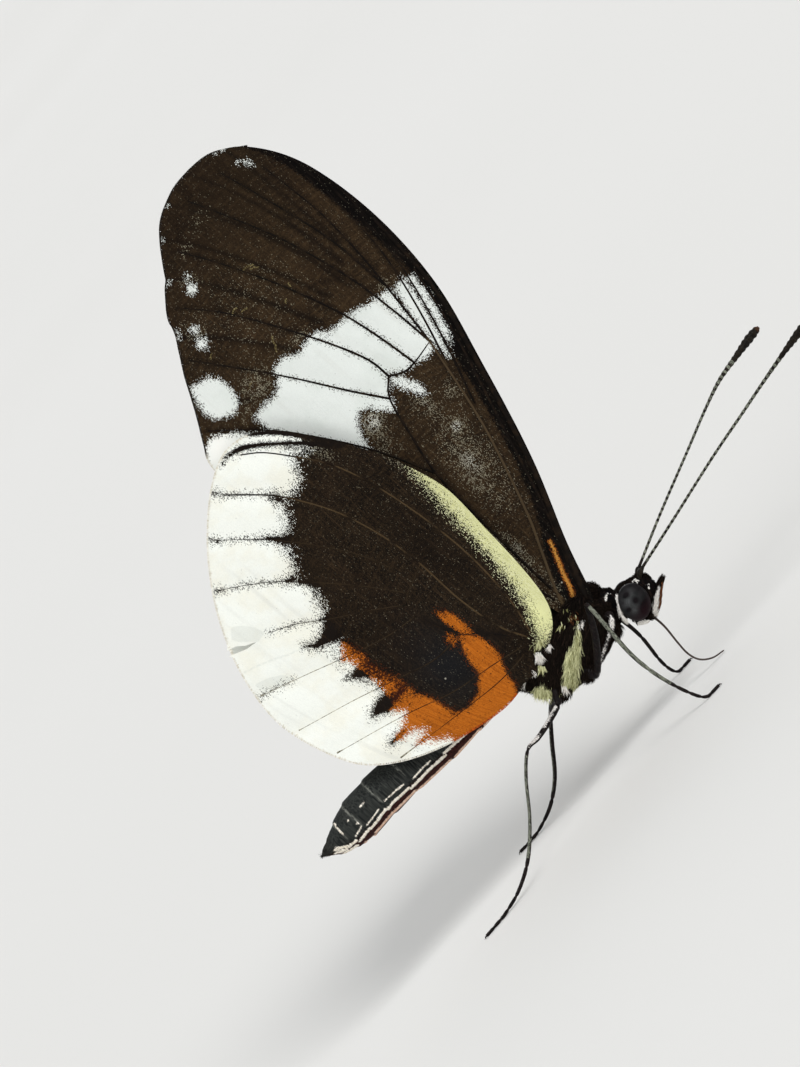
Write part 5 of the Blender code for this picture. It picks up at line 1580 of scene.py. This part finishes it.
def build_limbs():
    seeds = iter(range(31, 39))
    for suffix, side in SIDES:
        for kind in ("hindleg", "midleg", "foreleg"):
            leg(kind, suffix, side, LIMBS[suffix][kind], next(seeds))
        feeler(suffix, side, LIMBS[suffix]["antenna"])
        palp(suffix, side, next(seeds))
        eye(suffix, side)
    tongue()


# Wing fringes and the tufts at the wing roots.


def fringe(kind, suffix, side):
    """Short cilia along the outer margin of a wing."""
    shape = WINGS[kind]
    line = np.array(smooth_line(shape.outline[shape.margin], 0.06))
    rng = np.random.default_rng(next(SEEDS))
    ahead = np.gradient(line, axis=0)
    ahead /= np.linalg.norm(ahead, axis=1)[:, None]
    outward = np.stack([-ahead[:, 1], ahead[:, 0]], 1)
    count = len(line)
    inner = line - outward * 0.12
    out = side * (wing_middle(kind, line) + rng.normal(0, 0.02, count))
    roots = np.stack([inner[:, 0], out, inner[:, 1] + WING_LIFTS[f"{kind}_{suffix}"]], 1)
    lies = np.stack([outward[:, 0], rng.normal(0, 0.1, count), outward[:, 1]], 1)
    lies[:, [0, 2]] += ahead * rng.normal(-0.1, 0.22, count)[:, None]
    normals = np.tile([0.0, float(side), 0.0], (count, 1))
    lengths = 0.12 + 0.14 * rng.uniform(0.5, 1.2, count)
    widths = rng.uniform(0.05, 0.08, count)
    fields = wing_fields(kind, line - outward * 0.15)
    uvs = np.stack([0.02 + 0.96 * np.arange(count) / count, 0.3 + 0.4 * rng.random(count)], 1)
    coat(f"fringe_{kind}_{suffix}", roots, normals, (lies, lengths, widths, even(line, 0.0)), uvs,
         {key: fields[key] for key in ("white", "orange", "yellow")}, 0.0, 0.1, FRINGE_FINISH, "wing_scales")


def root_tufts(suffix, side):
    """Brushes of white, green, brown and dark hair round the wing roots and on the flank."""
    rng = np.random.default_rng(next(SEEDS))
    marks = ("white", "stripe", "palp")
    parts = []
    for ahead, up, out, wide, tall, count, length, slope, mark in ROOT_TUFTS:
        roots = rng.normal(0, 1, (count, 3)) * np.array([wide, 0.05, tall]) + np.array([ahead, out, up])
        roots[:, 1] *= side
        slopes = np.radians(slope + rng.normal(0, 16, count))
        lies = np.stack([np.cos(slopes), rng.normal(0, 0.15, count), np.sin(slopes)], 1)
        parts.append((roots, lies, length * rng.uniform(0.55, 1.2, count),
                      *(even(roots, 0.3 if mark == name else OUTSIDE) for name in marks)))
    roots, lies, lengths, *depths = (np.concatenate(part) for part in zip(*parts))
    count = len(roots)
    normals = np.tile([0.0, float(side), 0.0], (count, 1)) + rng.normal(0, 0.15, (count, 3))
    normals /= np.linalg.norm(normals, axis=1)[:, None]
    widths = rng.uniform(0.03, 0.05, count)
    rises = rng.uniform(0.1, 0.45, count)
    uvs = np.stack([(roots[:, 0] - 13.0) / 10.0, (roots[:, 2] - 6.0) / 7.0], 1)
    coat(f"tufts_wing_root_{suffix}", roots, normals, (lies, lengths, widths, rises), uvs,
         plain_values(roots, **dict(zip(marks, depths))), sink=0.0)


def build_edges():
    for suffix, side in SIDES:
        fringe("forewing", suffix, side)
        fringe("hindwing", suffix, side)
        root_tufts(suffix, side)


# Studio.


def studio():
    """A pale floor, even light from all round and three lamps."""
    bm = bmesh.new()
    bmesh.ops.create_grid(bm, x_segments=8, y_segments=8, size=12.0)
    floor = new_object("floor", written(bm))
    f = Finish("pale_floor", Roughness=0.9, Specular_IOR_Level=0.1)
    grain = f.noise(f.add("ShaderNodeTexCoord")["Object"], 3.0)
    floor.data.materials.append(f.finished(f.mixed(grain, tint(224, 223, 219), tint(230, 229, 226))))
    world = bpy.data.worlds.new("studio")
    bpy.context.scene.world = world
    world.use_nodes = True
    background = world.node_tree.nodes["Background"].inputs
    background[0].default_value = (0.95, 0.97, 1.0, 1.0)
    background[1].default_value = SKY_STRENGTH
    for name, direction, strength, spread in LAMPS:
        light = bpy.data.lights.new(name, "SUN")
        light.energy = strength
        light.angle = math.radians(spread)
        new_object(name, light).rotation_euler = Vector(direction).to_track_quat("Z", "Y").to_euler()
    bpy.context.scene.view_settings.view_transform = "Standard"


def photo_camera():
    """The camera of the photograph, turned with the insect so that it stands level."""
    look = Vector((0.0, math.cos(LOOK_DOWN), -math.sin(LOOK_DOWN)))
    level = Vector((1.0, 0.0, 0.0))
    upright = level.cross(look)
    across = level * math.cos(PHOTO_TURN) - upright * math.sin(PHOTO_TURN)
    up = level * math.sin(PHOTO_TURN) + upright * math.cos(PHOTO_TURN)
    camera = bpy.data.cameras.new("camera")
    camera.sensor_width = SENSOR
    camera.lens = LENS
    camera.clip_start = 0.01
    target = Vector((LOOK_AHEAD - BODY_MIDDLE, 0.0, LOOK_HEIGHT - FLOOR_LEVEL)) * MM
    turned = Matrix((across, up, -look)).transposed().to_4x4()
    obj = new_object("camera", camera)
    obj.matrix_world = Matrix.Translation(target - look * CAMERA_DISTANCE) @ turned
    bpy.context.scene.camera = obj


build_wings()
build_body()
build_limbs()
build_edges()
studio()
photo_camera()
